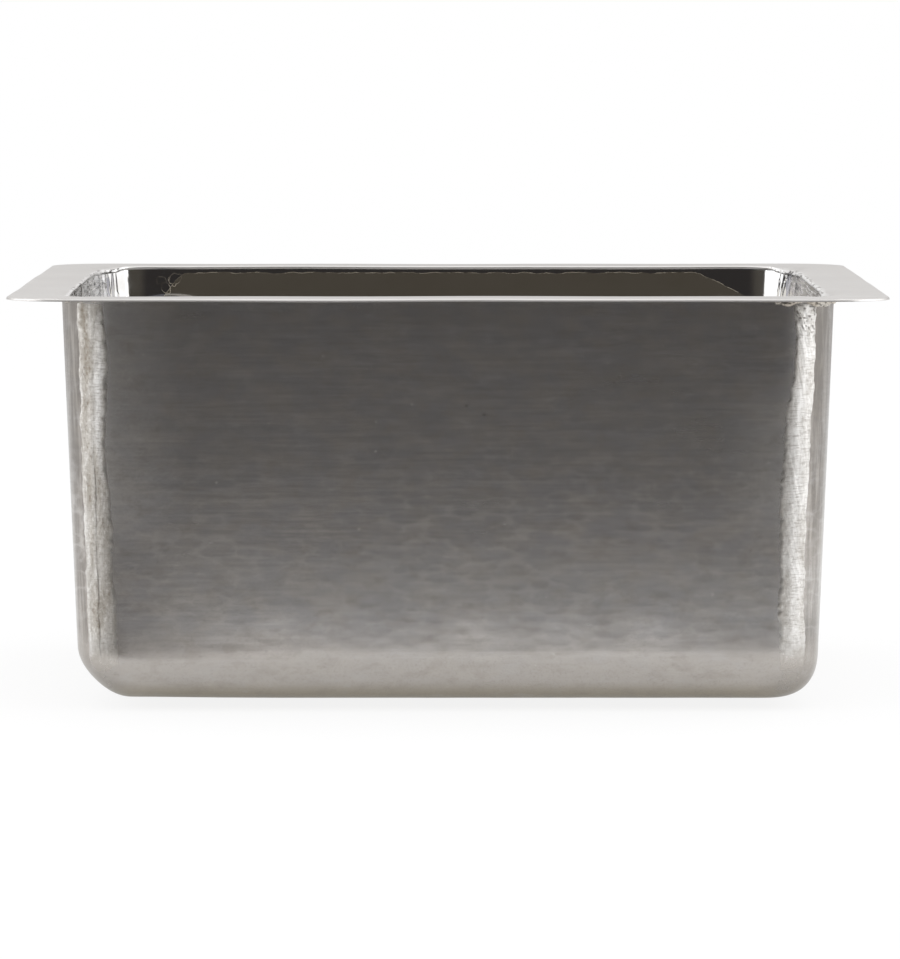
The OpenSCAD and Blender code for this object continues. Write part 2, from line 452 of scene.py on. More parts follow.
@dataclass(frozen=True)
class BrushedOutside:
    """Outside of the bowl: dull hammered sheet with a faint level grain and old stains, and light and shade
    painted into its colour by place.
    """

    cool: Colour = (0.440, 0.434, 0.442)
    warm: Tint = Tint((0.494, 0.472, 0.453), (0.35, 0.68))
    cloudy: Tint = Tint((0.34, 0.335, 0.33), (0.42, 0.72), 0.30)
    brushed: Tint = Tint((0.29, 0.285, 0.28), (0.3, 0.7), 0.32)
    banded: Tint = Tint((0.58, 0.57, 0.55), (0.45, 0.75), 0.16)
    straw: Colour = (0.49, 0.455, 0.415)
    heated: Colour = (0.27, 0.25, 0.23)
    speck: Tint = Tint((0.72, 0.71, 0.69), (0.90, 0.92), 0.7)
    speck_edge: Span = (0.09, 0.05)
    pit: Tint = Tint((0.20, 0.19, 0.18), (0.06, 0.04), 0.55)
    pit_edge: Span = (0.11, 0.06)
    # lighter ridges between the hammer marks on the lower walls: partly rubbed wear, partly painted highlight
    ridge: Tint = Tint((0.62, 0.60, 0.58), (0.50, 0.80), 0.34)
    ridge_zone: Zone = (("z", (0.150, 0.075)),)
    # painted shade: the walls darker above mid-height
    shade: Tint = Tint(BLACK, (0.070, 0.115), 0.18)
    # zones of painted light: over the bend at the left, and near the front corners
    over_bend: Zone = (("z", (0.080, 0.055)), ("z", (0.026, 0.036)), ("x", (-0.140, -0.112)))
    left_front: Zone = (("x", (-0.110, -0.150)),)
    right_front: Zone = (("x", (0.112, 0.150)), ("z", (0.155, 0.125)))
    front_ends: Zone = (("y", (-0.138, -0.156)), ("aside", (0.157, 0.151)), ("z", (0.066, 0.092)))
    # zone of painted shade low at the right end
    low_right: Zone = (("x", (0.095, 0.130)), ("z", (0.0205, 0.0265)), ("z", (0.046, 0.034)))
    bend_light: float = 0.115
    end_light: float = 0.27
    right_shade: float = 0.24
    # bend: painted reflection of the pale floor, lighter and warmer over the bottom bend; bottom: painted
    # shade, darker olive at the foot
    bend: Tint = Tint((0.505, 0.472, 0.437), (0.042, 0.018), 0.8)
    bottom: Tint = Tint((0.41, 0.367, 0.29), (0.014, 0.005), 0.9)
    sandy: Tint = Tint((0.26, 0.245, 0.235), (0.52, 0.68), 0.20)
    # painted shade low on the ball corners
    ball: Tint = Tint(BALL_SHADE, (0.026, 0.008), 0.6)
    ball_zone: Zone = (("aside", (0.132, 0.150)),)
    stained: Tint = Tint((0.33, 0.30, 0.265), (0.50, 0.68), 0.26)
    rinsed: Tint = Tint((0.56, 0.55, 0.55), (0.46, 0.30), 0.18)
    grain: Pattern = Pattern((34.0, 34.0, 760.0), 3.0, 0.6)
    bands: Pattern = Pattern((9.0, 9.0, 420.0), 3.0, 0.6)
    clouds: Pattern = Pattern((13.0, 13.0, 19.0), 4.0, 0.6)
    blotches: Pattern = Pattern((60.0, 60.0, 95.0), 3.0, 0.6)
    sand: Pattern = Pattern((950.0, 950.0, 1100.0), 2.0, 0.7)
    streaks: Pattern = Pattern((260.0, 260.0, 26.0), 4.0, 0.6)
    stains: Pattern = Pattern((85.0, 85.0, 140.0), 4.0, 0.65)
    fleck_cycles: Triple = (130.0, 130.0, 130.0)
    hammer_cycles: Triple = (111.0, 111.0, 278.0)
    hammer_shift: float = 21.93
    roughness: float = 0.24
    grain_depth: float = 0.000012

    def flecked(self, paint: Painter, colour: Wire) -> Wire:
        """Scatters light specks and dark pits.

        Args:
            paint: The material in the making.
            colour: The colour below.

        Returns:
            The colour with them.
        """
        away, chances, _ = paint.cells(paint.place * self.fleck_cycles, 1.0)
        chance = paint.wire("ShaderNodeSeparateColor", None, {0: chances}, 0)
        specks = (chance, self.speck, away.ramp(*self.speck_edge))
        return paint.layered(colour, specks, (chance, self.pit, away.ramp(*self.pit_edge)))

    def lit(self, paint: Painter, colour: Wire) -> Wire:
        """Paints light and shade into the walls' colour: painted shade high up, and painted light over the
        bend and near the front corners.

        Low at the right end more painted shade darkens them again.

        Args:
            paint: The material in the making.
            colour: The colour below.

        Returns:
            The new colour.
        """
        # painted shade high up
        colour = paint.layered(colour, (paint.z, self.shade))
        ends = (paint.zone(self.left_front) + paint.zone(self.right_front)) * paint.zone(self.front_ends)
        # painted light over the bend and near the front corners
        light = paint.zone(self.over_bend) * self.bend_light + ends * self.end_light
        colour = paint.mix(light, colour, LIGHT)
        # painted shade low at the right end
        return paint.mix(paint.zone(self.low_right) * self.right_shade, colour, BLACK)

    def material(self) -> bpy.types.Material:
        """Builds the material.

        Returns:
            The material.
        """
        paint = Painter("hammered outside")
        patterns = (self.grain, self.bands, self.clouds, self.blotches, self.streaks)
        grain, bands, clouds, blotches, streaks = (paint.pattern(part) for part in patterns)
        layers = ((blotches, self.warm), (clouds, self.cloudy), (grain, self.brushed), (bands, self.banded))
        colour = paint.layered(self.cool, *layers)
        heat = paint.carried("tint")
        colour = paint.mix(heat * 0.7, colour, self.straw)
        colour = paint.mix(heat * streaks.ramp(0.36, 0.60, 0.25, 1.0), colour, self.heated)
        colour = self.flecked(paint, colour)
        hammered, _, _ = paint.cells(paint.place * self.hammer_cycles + self.hammer_shift, 0.75)
        # ridges of the hammer marks lighter low down: rubbed wear and painted highlight
        ridges = paint.zone(self.ridge_zone) * (0.35 + clouds.ramp(0.35, 0.60) * 0.65)
        colour = self.lit(paint, paint.layered(colour, (hammered, self.ridge, ridges)))
        wavy = paint.z + (blotches - 0.5) * 0.010 + (clouds - 0.5) * 0.012
        sand, stains = paint.pattern(self.sand), paint.pattern(self.stains)
        # painted floor reflection over the bend, and painted shade at the foot
        colour = paint.layered(colour, (wavy, self.bend), (paint.z, self.bottom), (sand, self.sandy))
        # painted shade low on the ball corners
        colour = paint.layered(colour, (paint.z, self.ball, paint.zone(self.ball_zone)))
        colour = paint.layered(colour, (stains, self.stained), (stains, self.rinsed))
        roughness = self.roughness + (clouds - 0.5) * 0.12 + (grain - 0.5) * 0.10
        height = grain * 0.14 + bands * 0.04 + blotches * 0.20
        return paint.metal(colour, roughness, paint.bumps(height, self.grain_depth))


@dataclass(frozen=True)
class PolishedInside:
    """Inside of the bowl: polished sheet with hair-thin heat lines near the welds."""

    colour: Colour = (0.64, 0.64, 0.645)
    shade: Tint = Tint((0.52, 0.51, 0.495), (0.35, 0.75))
    scuffed: Colour = (0.90, 0.90, 0.90)
    dark_scratch: Tint = Tint((0.16, 0.15, 0.14), (0.60, 0.66), 0.8)
    light_scratch: Tint = Tint((0.97, 0.97, 0.97), (0.50, 0.42), 0.9)
    right_scuff: Tint = Tint((0.60, 0.54, 0.47), (0.10, 0.15), 0.5)
    back: Tint = Tint((0.60, 0.56, 0.49), (0.12, 0.13), 0.6)
    back_zone: Zone = (("aside", (0.144, 0.136)),)
    band: Colour = (0.265, 0.265, 0.30)
    band_level: float = 0.1773
    band_falls: tuple[tuple[Span, float], ...] = (((0.116, 0.152), 0.013), ((-0.126, -0.141), 0.014))
    heat_zone: Zone = (("y", (0.12, 0.13)), ("aside", (0.149, 0.144)))
    line: Colour = (1.0, 0.90, 0.70)
    line_edge: Span = (0.00030, 0.00006)
    rings: tuple[Triple, ...] = (
        (-0.1377, 0.1731, 0.0022),
        (-0.1320, 0.1750, 0.0028),
        (-0.1353, 0.1702, 0.0019),
    )
    smears: Pattern = Pattern((30.0, 30.0, 46.0), 4.0, 0.6)
    fine: Pattern = Pattern((700.0, 700.0, 240.0), 2.0)
    patches: Pattern = Pattern((300.0, 16.0, 330.0), 3.0, 0.65)
    scratches: Pattern = Pattern((520.0, 28.0, 400.0), 3.0, 0.7)
    waves: Pattern = Pattern((110.0, 0.0, 60.0), 3.0)
    curls: Pattern = Pattern((140.0, 0.0, 170.0), 2.0)
    roughness: float = 0.06
    relief: float = 0.00035

    def heat_marks(self, paint: Painter) -> tuple[Wire, Wire]:
        """Marks of the welder's heat on the back wall: a dark band, and hair-thin straw lines.

        Args:
            paint: The material in the making.

        Returns:
            Shares of the band and of the lines.
        """
        wave, curl = paint.pattern(self.waves), paint.pattern(self.curls)
        level = self.band_level
        for span, drop in self.band_falls:
            level = level - paint.x.ramp(*span) * drop
        above = paint.z - level - (wave - 0.5) * 0.003
        lines = abs(above).ramp(*self.line_edge)
        for x, z, radius in self.rings:
            across = paint.x - x + (wave - 0.5) * 0.009
            up = paint.z - z + (curl - 0.5) * 0.008
            away = abs((across * across + up * up).power(0.5) - radius)
            lines = lines.most(away.ramp(*self.line_edge))
        back = paint.zone(self.heat_zone)
        faint = curl.ramp(0.32, 0.58, 0.15, 0.85) * wave.ramp(0.30, 0.50, 0.4, 1.0)
        return above.ramp(-0.0002, 0.0003) * back, lines * faint * 0.7 * back

    def material(self) -> bpy.types.Material:
        """Builds the material.

        Returns:
            The material.
        """
        paint = Painter("polished inside")
        patterns = (self.smears, self.fine, self.patches, self.scratches)
        smears, fine, patches, scratches = (paint.pattern(part) for part in patterns)
        scuff = paint.carried("scuff")
        worn = scuff * (patches.ramp(0.42, 0.58) * 0.75 + 0.25)
        colour = paint.mix(worn, paint.layered(self.colour, (smears, self.shade)), self.scuffed)
        marks = ((scratches, self.dark_scratch), (scratches, self.light_scratch), (paint.x, self.right_scuff))
        colour = paint.layered(colour, *((*mark, scuff) for mark in marks))
        colour = paint.layered(colour, (paint.y, self.back, paint.zone(self.back_zone)))
        band, lines = self.heat_marks(paint)
        colour = paint.mix(lines, paint.mix(band, colour, self.band), self.line)
        roughness = self.roughness + smears.ramp(0.4, 0.8, 0.0, 0.04) + worn * 0.36 + lines * 0.45
        return paint.metal(colour, roughness, paint.bumps(fine * 0.015 + scratches * scuff, self.relief))


@dataclass(frozen=True)
class FiledWeld:
    """Filed weld up a corner: bright, streaked and pitted, with a painted highlight down it and a dark joint
    beside it.
    """

    colour: Colour = (0.78, 0.765, 0.74)
    dull: Tint = Tint((0.50, 0.48, 0.45), (0.35, 0.68))
    painted_highlight: Colour = (0.96, 0.955, 0.945)
    stroke: Tint = Tint((0.42, 0.40, 0.375), (0.52, 0.68), 0.55)
    aged: Colour = (0.38, 0.345, 0.30)
    brown: Tint = Tint((0.26, 0.22, 0.18), (0.51, 0.66))
    crumb: Tint = Tint((0.93, 0.92, 0.90), (0.46, 0.34))
    sheet: Colour = (0.40, 0.395, 0.385)
    # bend: painted floor reflection on the sheet at the strip's foot; ball: painted shade low down
    bend: Tint = Tint((0.495, 0.463, 0.428), (0.032, 0.022))
    ball: Tint = Tint(BALL_SHADE, (0.026, 0.008), 0.6)
    foot: Zone = (("z", (0.031, 0.018)),)
    joint: Colour = (0.08, 0.07, 0.06)
    streaks: Pattern = Pattern((420.0, 420.0, 60.0), 4.0, 0.65)
    crumbs: Pattern = Pattern((640.0, 640.0, 500.0), 4.0, 0.65)
    clouds: Pattern = Pattern((150.0, 150.0, 80.0), 3.0, 0.6)
    strokes: Pattern = Pattern((210.0, 210.0, 1500.0), 3.0, 0.6)
    roughness: float = 0.40
    relief: float = 0.00016

    def material(self) -> bpy.types.Material:
        """Builds the material.

        Returns:
            The material.
        """
        paint = Painter("filed weld")
        patterns = (self.streaks, self.crumbs, self.clouds, self.strokes)
        streaks, crumbs, clouds, strokes = (paint.pattern(part) for part in patterns)
        dark, aged, blend, bright = (paint.carried(name) for name in ("joint", "aged", "blend", "bright"))
        colour = paint.layered(self.colour, (streaks, self.dull))
        # painted highlight down the strip
        colour = paint.mix(bright * strokes.ramp(0.35, 0.60, 1.0, 0.5), colour, self.painted_highlight)
        colour = paint.layered(colour, (strokes, self.stroke))
        colour = paint.mix(aged * clouds.ramp(0.25, 0.6, 0.45, 1.0), colour, self.aged)
        brown, light = (crumbs, self.brown, aged * 0.70 + 0.12), (crumbs, self.crumb, 0.50 - aged * 0.25)
        colour = paint.layered(colour, brown, light)
        # the sheet beside the strip, with the same painted floor reflection and painted shade low down
        around = paint.layered(self.sheet, (paint.z, self.bend), (paint.z, self.ball))
        blended = blend * strokes.ramp(0.30, 0.62, 1.0, 0.55).most(paint.zone(self.foot))
        colour = paint.mix(dark, paint.mix(blended, colour, around), self.joint)
        roughness = self.roughness + (crumbs - 0.5) * 0.25 + aged * 0.10 + dark * 0.3 - blend * 0.15
        height = (streaks * 0.45 + crumbs * 0.30 + strokes * 0.25) * (1.0 - blend * 0.85)
        return paint.metal(colour, roughness, paint.bumps(height, self.relief))


@dataclass(frozen=True)
class WeldBead:
    """Bare weld bead, rippled, with a straw and brown heat tint."""

    colour: Colour = (0.58, 0.55, 0.50)
    straw: Tint = Tint((0.58, 0.53, 0.46), (0.35, 0.6))
    brown: Tint = Tint((0.22, 0.19, 0.165), (0.50, 0.70), 0.7)
    crease: Tint = Tint((0.10, 0.09, 0.08), (0.52, 0.60), 0.8)
    heat: Pattern = Pattern((90.0, 90.0, 260.0), 3.0)
    scale: Pattern = Pattern((900.0, 900.0, 900.0), 3.0)
    creases: Pattern = Pattern((330.0, 330.0, 900.0), 3.0, 0.65)
    roughness: float = 0.40
    relief: float = 0.00008

    def material(self) -> bpy.types.Material:
        """Builds the material.

        Returns:
            The material.
        """
        paint = Painter("weld bead")
        heat, scale, creases = (paint.pattern(part) for part in (self.heat, self.scale, self.creases))
        layers = ((heat, self.straw), (heat, self.brown), (creases, self.crease))
        colour = paint.layered(self.colour, *layers)
        roughness = self.roughness + (scale - 0.5) * 0.2
        return paint.metal(colour, roughness, paint.bumps(scale, self.relief))


# Meshes


def smoothstep(value: Any, zero: Any, one: Any) -> Any:
    """Changes smoothly from 0 at one value to 1 at another, which may be the lower of the two."""
    share = np.clip((value - zero) / (one - zero), 0.0, 1.0)
    return share * share * (3.0 - 2.0 * share)


def wander(place: Array, step: float, seed: int) -> Array:
    """Smooth random values along a line.

    Args:
        place: Distances along the line.
        step: Distance between the random knots.
        seed: Which line.

    Returns:
        Values from -1 to 1.
    """
    knots = np.random.default_rng(seed).uniform(-1.0, 1.0, KNOTS)
    scaled = place / step + KNOTS / 4
    low = np.floor(scaled).astype(int)
    share = smoothstep(scaled, low, low + 1)
    return knots[low % KNOTS] * (1.0 - share) + knots[(low + 1) % KNOTS] * share


def at_height(flat: Array, height: float) -> Array:
    """Points seen from above, all put at one height."""
    return np.column_stack([flat, np.full(len(flat), height)])


def circle(count: int) -> Array:
    """Directions all the way round, at even steps."""
    angles = np.linspace(0.0, 2.0 * math.pi, count, endpoint=False)
    return np.stack([np.cos(angles), np.sin(angles)], axis=-1)


def lofted(base: Array, out: Array, line: Array) -> Array:
    """Sweeps an outline round a path.

    Args:
        base: Points of the path.
        out: Its directions outward.
        line: Distance outward and height of each point of the outline.

    Returns:
        The points, with a row for each point of the outline.
    """
    flat = base[None] + out[None] * line[:, None, :1]
    tall = np.broadcast_to(line[:, None, 1:2], (*flat.shape[:2], 1))
    return np.concatenate([flat, tall], axis=-1)


def grid_faces(ids: Array) -> Array:
    """Faces of a grid of point numbers, facing outward where its rows run down a bowl."""
    return np.stack([ids[:-1, :-1], ids[1:, :-1], ids[1:, 1:], ids[:-1, 1:]], axis=-1).reshape(-1, 4)


def ring_faces(ids: Array) -> Array:
    """Faces of a grid whose columns close into a ring."""
    return grid_faces(np.column_stack([ids, ids[:, 0]]))


def tidy_faces(faces: Array) -> Array:
    """Turns faces with a repeated point into triangles.

    Args:
        faces: Faces of four points.

    Returns:
        The same faces, where -1 stands for a missing fourth point.
    """
    faces = faces.copy()
    for step in range(4):
        same = (faces[:, step] == faces[:, (step + 1) % 4]) & (faces[:, 3] >= 0)
        faces[same, :3] = np.delete(faces[same], step, axis=1)
        faces[same, 3] = -1
    return faces


def closing_faces(faces: Array, half: int) -> Array:
    """Faces that join the open edges of the outside skin to those of the inside skin.

    Args:
        faces: Faces of the outside skin.
        half: Distance from an outside point's number to its inside point's.

    Returns:
        The joining faces.
    """
    last = np.where(faces[:, 3] < 0, 2, 3)
    pairs = []
    for step in range(4):
        following = faces[np.arange(len(faces)), np.where(step == last, 0, (step + 1) % 4)]
        pairs.append(np.stack([faces[:, step], following], axis=-1)[step <= last])
    edges = np.concatenate(pairs)
    big = int(edges.max()) + 1
    shared = np.isin(edges @ [big, 1], edges @ [1, big])
    start, end = edges[~shared].T
    return np.stack([end, start, start + half, end + half], axis=-1)


@dataclass
class Shell:
    """A mesh in the making: points, faces and the zone of each face.

    A face of three points has -1 as its fourth. Normals are smoothed inside each zone alone.
    """

    points: Array
    faces: Array
    zones: Array
    attributes: dict[str, Array] = field(default_factory=dict)

    @classmethod
    def swept(cls, sections: Array, zones: Array) -> "Shell":
        """Joins closed cross-sections into a closed ring.

        Args:
            sections: Points of each cross-section, one row for each.
            zones: Zone of the face after each point of the cross-section.

        Returns:
            The ring.
        """
        ids = np.arange(sections.shape[0] * sections.shape[1]).reshape(sections.shape[:2])
        faces = ring_faces(np.vstack([ids, ids[:1]]))
        return cls(sections.reshape(-1, 3), faces, np.tile(zones, len(sections)))

    def corner_normals(self) -> Array:
        """Works out the normals at the corners of the faces.

        Returns:
            One vector for each of the four corners of each face.
        """
        corner = self.points[np.where(self.faces < 0, self.faces[:, :1], self.faces)]
        normals = 0.5 * np.cross(corner[:, 2] - corner[:, 0], corner[:, 3] - corner[:, 1])
        zones = int(self.zones.max()) + 1
        keys = np.where(self.faces < 0, 0, self.faces) * zones + self.zones[:, None]
        used = self.faces >= 0
        slots = len(self.points) * zones
        sums = [np.bincount(keys[used], np.repeat(part, 4)[used.ravel()], slots) for part in normals.T]
        found = np.stack(sums, axis=-1)[keys]
        return found / np.maximum(np.linalg.norm(found, axis=-1, keepdims=True), 1e-12)

    def mesh(
        self, name: str, *finishes: bpy.types.Material, normals: Array | None = None, flat: int = -1
    ) -> bpy.types.Mesh:
        """Makes the Blender mesh, in metres.

        Args:
            name: Its name.
            finishes: Its materials. A zone takes its own, or else the last one.
            normals: Corner normals, or None to leave Blender's own.
            flat: Zone whose faces are flat.

        Returns:
            The mesh.
        """
        used = self.faces >= 0
        counts = used.sum(axis=1)
        made = bpy.data.meshes.new(name)
        made.vertices.add(len(self.points))
        made.vertices.foreach_set("co", (self.points * MM).astype(np.float32).ravel())
        made.loops.add(int(counts.sum()))
        made.loops.foreach_set("vertex_index", self.faces[used].astype(np.int32))
        made.polygons.add(len(self.faces))
        made.polygons.foreach_set("loop_start", (np.cumsum(counts) - counts).astype(np.int32))
        carry(made, self.attributes)
        made.update(calc_edges=True)
        made.polygons.foreach_set("use_smooth", self.zones != flat)
        for finish in finishes:
            made.materials.append(finish)
        last = max(len(finishes) - 1, 0)
        made.polygons.foreach_set("material_index", np.minimum(self.zones, last).astype(np.int32))
        if normals is not None:
            made.normals_split_custom_set(normals[used].astype(np.float32))
        made.update()
        return made


def carry(mesh: bpy.types.Mesh, attributes: dict[str, Array]) -> None:
    """Gives a mesh numbers or vectors at its points, by name."""
    for name, values in attributes.items():
        kind, key = ("FLOAT_VECTOR", "vector") if values.ndim > 1 else ("FLOAT", "value")
        layer = mesh.attributes.new(name, kind, "POINT")
        layer.data.foreach_set(key, values.astype(np.float32).ravel())


def path_mesh(name: str, points: Array, swell: Array) -> bpy.types.Mesh:
    """Makes a closed path of edges with the size of its bead.

    Args:
        name: The mesh's name.
        points: Its points, in millimetres.
        swell: Size of the bead at each point.

    Returns:
        The mesh.
    """
    made = bpy.data.meshes.new(name)
    ids = range(len(points))
    made.from_pydata((points * MM).tolist(), list(zip(ids, [*ids[1:], 0])), [])
    carry(made, {"swell": swell})
    return made


def place_piece(name: str, mesh: bpy.types.Mesh, node: str) -> None:
    """Puts a finished mesh into the scene for a node of the frame.

    Args:
        name: The piece's name.
        mesh: Its mesh, in place.
        node: The node that it stands for.
    """
    piece = bpy.data.objects.new(name, mesh)
    bpy.context.scene.collection.objects.link(piece)
    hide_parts(node)
    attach(piece, BODY)
    LOG.info("%s: %d faces, stands for %s", name, len(mesh.polygons), node)


# Geometry trees


class GeometryTree(Net):
    """A Geometry Nodes tree with named inputs, one of them its finish."""

    def __init__(self, name: str, finish: bpy.types.Material, inputs: dict[str, tuple[str, Any]]) -> None:
        """Starts a tree.

        Args:
            name: The tree's name.
            finish: Material of what it makes.
            inputs: Type and value of each other named input.
        """
        super().__init__(bpy.data.node_groups.new(name, "GeometryNodeTree"))
        face = self.tree.interface
        for way in ("INPUT", "OUTPUT"):
            face.new_socket(name="Geometry", in_out=way, socket_type="NodeSocketGeometry")
        self.values: dict[str, Any] = {}
        for label, (kind, value) in {**inputs, "Finish": ("Material", finish)}.items():
            socket = face.new_socket(name=label, in_out="INPUT", socket_type="NodeSocket" + kind)
            self.values[socket.identifier] = value
        self.entry = self.node("NodeGroupInput")

    def given(self, label: str) -> Wire:
        """The input with this name."""
        return Wire(self, self.entry.outputs[label])

    def attribute(self, name: str, kind: str = "FLOAT") -> Wire:
        """An attribute of the geometry, by name."""
        return self.wire("GeometryNodeInputNamedAttribute", {"data_type": kind}, {"Name": name})

    def applied(self, last: Wire, mesh: bpy.types.Mesh) -> bpy.types.Mesh:
        """Ends the tree and runs it on a mesh.

        Args:
            last: The geometry that the tree ends with.
            mesh: What goes in. It is removed afterwards.

        Returns:
            A plain mesh of what comes out, smooth and with the finish.
        """
        real = self.wire("GeometryNodeRealizeInstances", None, {0: last})
        smooth = self.wire("GeometryNodeSetShadeSmooth", None, {0: real})
        finished = self.wire("GeometryNodeSetMaterial", None, {0: smooth, "Material": self.given("Finish")})
        self.node("NodeGroupOutput", None, {0: finished})
        carrier = bpy.data.objects.new("carrier", mesh)
        bpy.context.scene.collection.objects.link(carrier)
        modifier = carrier.modifiers.new(self.tree.name, "NODES")
        modifier.node_group = self.tree
        for identifier, value in self.values.items():
            modifier[identifier] = value
        bpy.context.view_layer.update()
        graph = bpy.context.evaluated_depsgraph_get()
        ready = carrier.evaluated_get(graph)
        result = bpy.data.meshes.new_from_object(ready, preserve_all_data_layers=True, depsgraph=graph)
        carrier.modifiers.remove(modifier)
        bpy.data.objects.remove(carrier)
        bpy.data.meshes.remove(mesh)
        return result


@dataclass(frozen=True)
class HammerMarks:
    """Shallow overlapping hammer marks, small tilted facets and long wrinkles, pressed into a mesh.

    The mesh brings the attributes spot, the place that the patterns are read at, push, the
    direction of a raised point, and marks, facets and wrinkles, the shares of the patterns.
    """

    finish: bpy.types.Material
    mark_size: Triple = (0.0090, 0.0090, 0.0036)
    mark_depth: float = 0.000040
    dent_depth: float = 0.00016
    facet_size: Triple = (0.0045, 0.0130, 0.0040)
    wrinkle_size: Triple = (0.0026, 0.0026, 0.0150)
    facet_tilt: float = 0.0008
    heavy_cycles: float = 24.0
    broad_cycles: float = 21.0
    mark_shift: float = 7.31
    facet_shift: float = 0.013
    seed: float = 3.0

    @staticmethod
    def tilted(tree: GeometryTree, small: Wire) -> Wire:
        """Height of a pattern of tilted facets, read at a place that is already scaled."""
        _, chances, middles = tree.cells(small, 0.9)
        return (chances - 0.5).dot(small - middles)

    def apply(self, mesh: bpy.types.Mesh) -> bpy.types.Mesh:
        """Presses the marks into a mesh.

        Args:
            mesh: The smooth mesh.

        Returns:
            The marked mesh, with its points in the same order.
        """
        inputs = {
            "Mark size": ("Vector", self.mark_size),
            "Mark depth": ("Float", self.mark_depth),
            "Dent depth": ("Float", self.dent_depth),
            "Facet size": ("Vector", self.facet_size),
            "Wrinkle size": ("Vector", self.wrinkle_size),
            "Facet tilt": ("Float", self.facet_tilt),
            "Seed": ("Float", self.seed),
        }
        tree = GeometryTree("Hammer marks", self.finish, inputs)
        spot = tree.attribute("spot", "FLOAT_VECTOR")
        shift = tree.given("Seed") * self.mark_shift
        away, _, _ = tree.cells(spot / tree.given("Mark size") + shift, 0.75)
        heavy = tree.noise(spot * self.heavy_cycles + shift).ramp(0.3, 0.7, 0.55, 1.0)
        dents = (away * away * 2.0 - 1.0).least(0.0) * heavy * tree.given("Mark depth")
        broad = (tree.noise(spot * self.broad_cycles + shift, 1.0) - 1.0) * tree.given("Dent depth")
        shifted = spot + tree.given("Seed") * self.facet_shift
        facets = self.tilted(tree, shifted / tree.given("Facet size")) * tree.attribute("facets")
        wrinkles = self.tilted(tree, shifted / tree.given("Wrinkle size")) * tree.attribute("wrinkles")
        height = (dents + broad) * tree.attribute("marks")
        height = height + (facets + wrinkles) * tree.given("Facet tilt")
        offset = tree.attribute("push", "FLOAT_VECTOR") * height
        moves = {"Geometry": tree.given("Geometry"), "Offset": offset}
        return tree.applied(tree.wire("GeometryNodeSetPosition", None, moves), mesh)


@dataclass(frozen=True)
class RippledBead:
    """A weld bead: overlapping ripples along a closed path.

    The path brings the attribute swell, the size of the bead at each point.
    """

    finish: bpy.types.Material
    pitch: float = 0.0015
    ripple: Triple = (0.0024, 0.0011, 0.0013)
    jitter: float = 0.30
    seed: int = 5

    def apply(self, path: bpy.types.Mesh) -> bpy.types.Mesh:
        """Lays the bead along a path.

        Args:
            path: A mesh of edges.

        Returns:
            The bead.
        """
        inputs = {
            "Ripple pitch": ("Float", self.pitch),
            "Ripple size": ("Vector", self.ripple),
            "Unevenness": ("Float", self.jitter),
            "Seed": ("Int", self.seed),
        }
        tree = GeometryTree("Rippled bead", self.finish, inputs)
        line = tree.wire("GeometryNodeMeshToCurve", None, {0: tree.given("Geometry")})
        steps = {0: line, "Length": tree.given("Ripple pitch")}
        even = tree.wire("GeometryNodeResampleCurve", {"mode": "LENGTH"}, steps)
        ball = tree.wire("GeometryNodeMeshUVSphere", None, {"Segments": 10, "Rings": 7, "Radius": 1.0}, 0)
        tangent = {"Vector": tree.wire("GeometryNodeInputTangent")}
        turn = tree.wire("FunctionNodeAlignRotationToVector", {"axis": "X"}, tangent)
        limits = {0: (-1.0, -1.0, -1.0), 1: (1.0, 1.0, 1.0), "Seed": tree.given("Seed")}
        chance = tree.wire("FunctionNodeRandomValue", {"data_type": "FLOAT_VECTOR"}, limits)
        uneven = 1.0 + chance * tree.given("Unevenness")
        grown = tree.given("Ripple size") * uneven * tree.attribute("swell")
        laid = {"Points": even, "Instance": ball, "Rotation": turn, "Scale": grown}
        return tree.applied(tree.wire("GeometryNodeInstanceOnPoints", None, laid), path)


# The sink


@dataclass(frozen=True)
class SinkSizes:
    """Sizes of the sink, as in the solid part."""

    rim_half: float = 190.5
    rim_reach: float = 27.0
    rim_corner: float = 25.0
    rim_thickness: float = 1.2
    lip_width: float = 4.6
    lip_height: float = 1.6
    bowl_depth: float = 177.0
    sheet: float = 1.2
    draft: float = math.radians(2.3)
    bend: float = 24.0
    recess: float = 4.0
    drain_hole: float = 44.45
    drain_seat: float = 54.45
    drain_slope: float = 59.45
    drain_edge: float = 65.45
    slope_shift: float = 0.41

    @property
    def rim_top(self) -> float:
        """Height of the top of the rim."""
        return self.recess + self.bowl_depth

    @property
    def rim_under(self) -> float:
        """Height of the underside of the rim."""
        return self.rim_top - self.rim_thickness

    @property
    def wall_top(self) -> float:
        """Height of the top of the walls, under the lip."""
        return self.rim_top - self.lip_height

    @property
    def bend_centre(self) -> float:
        """Height of the centre of the bends."""
        return self.recess + self.bend

    @property
    def seam(self) -> float:
        """Height at which the walls meet the bends."""
        return self.bend_centre - self.bend * math.sin(self.draft)

    def outside(self, height: Any) -> Any:
        """Distance of the wall's outside from the corner axes, at a height."""
        return self.bend / math.cos(self.draft) + (height - self.bend_centre) * math.tan(self.draft)

    @property
    def top_corner(self) -> float:
        """Radius of the bowl's corners at the top of the walls."""
        return round(self.outside(self.wall_top), 2)

    @property
    def lip_edge(self) -> float:
        """Radius of the corners of the opening."""
        return self.top_corner - self.lip_width

    @property
    def axis(self) -> float:
        """Distance of the corner axes from the middle."""
        return self.rim_half - self.rim_reach - self.lip_edge

    @property
    def rim_axis(self) -> float:
        """Distance of the axes of the rim's own corners from the middle."""
        return self.rim_half - self.rim_corner


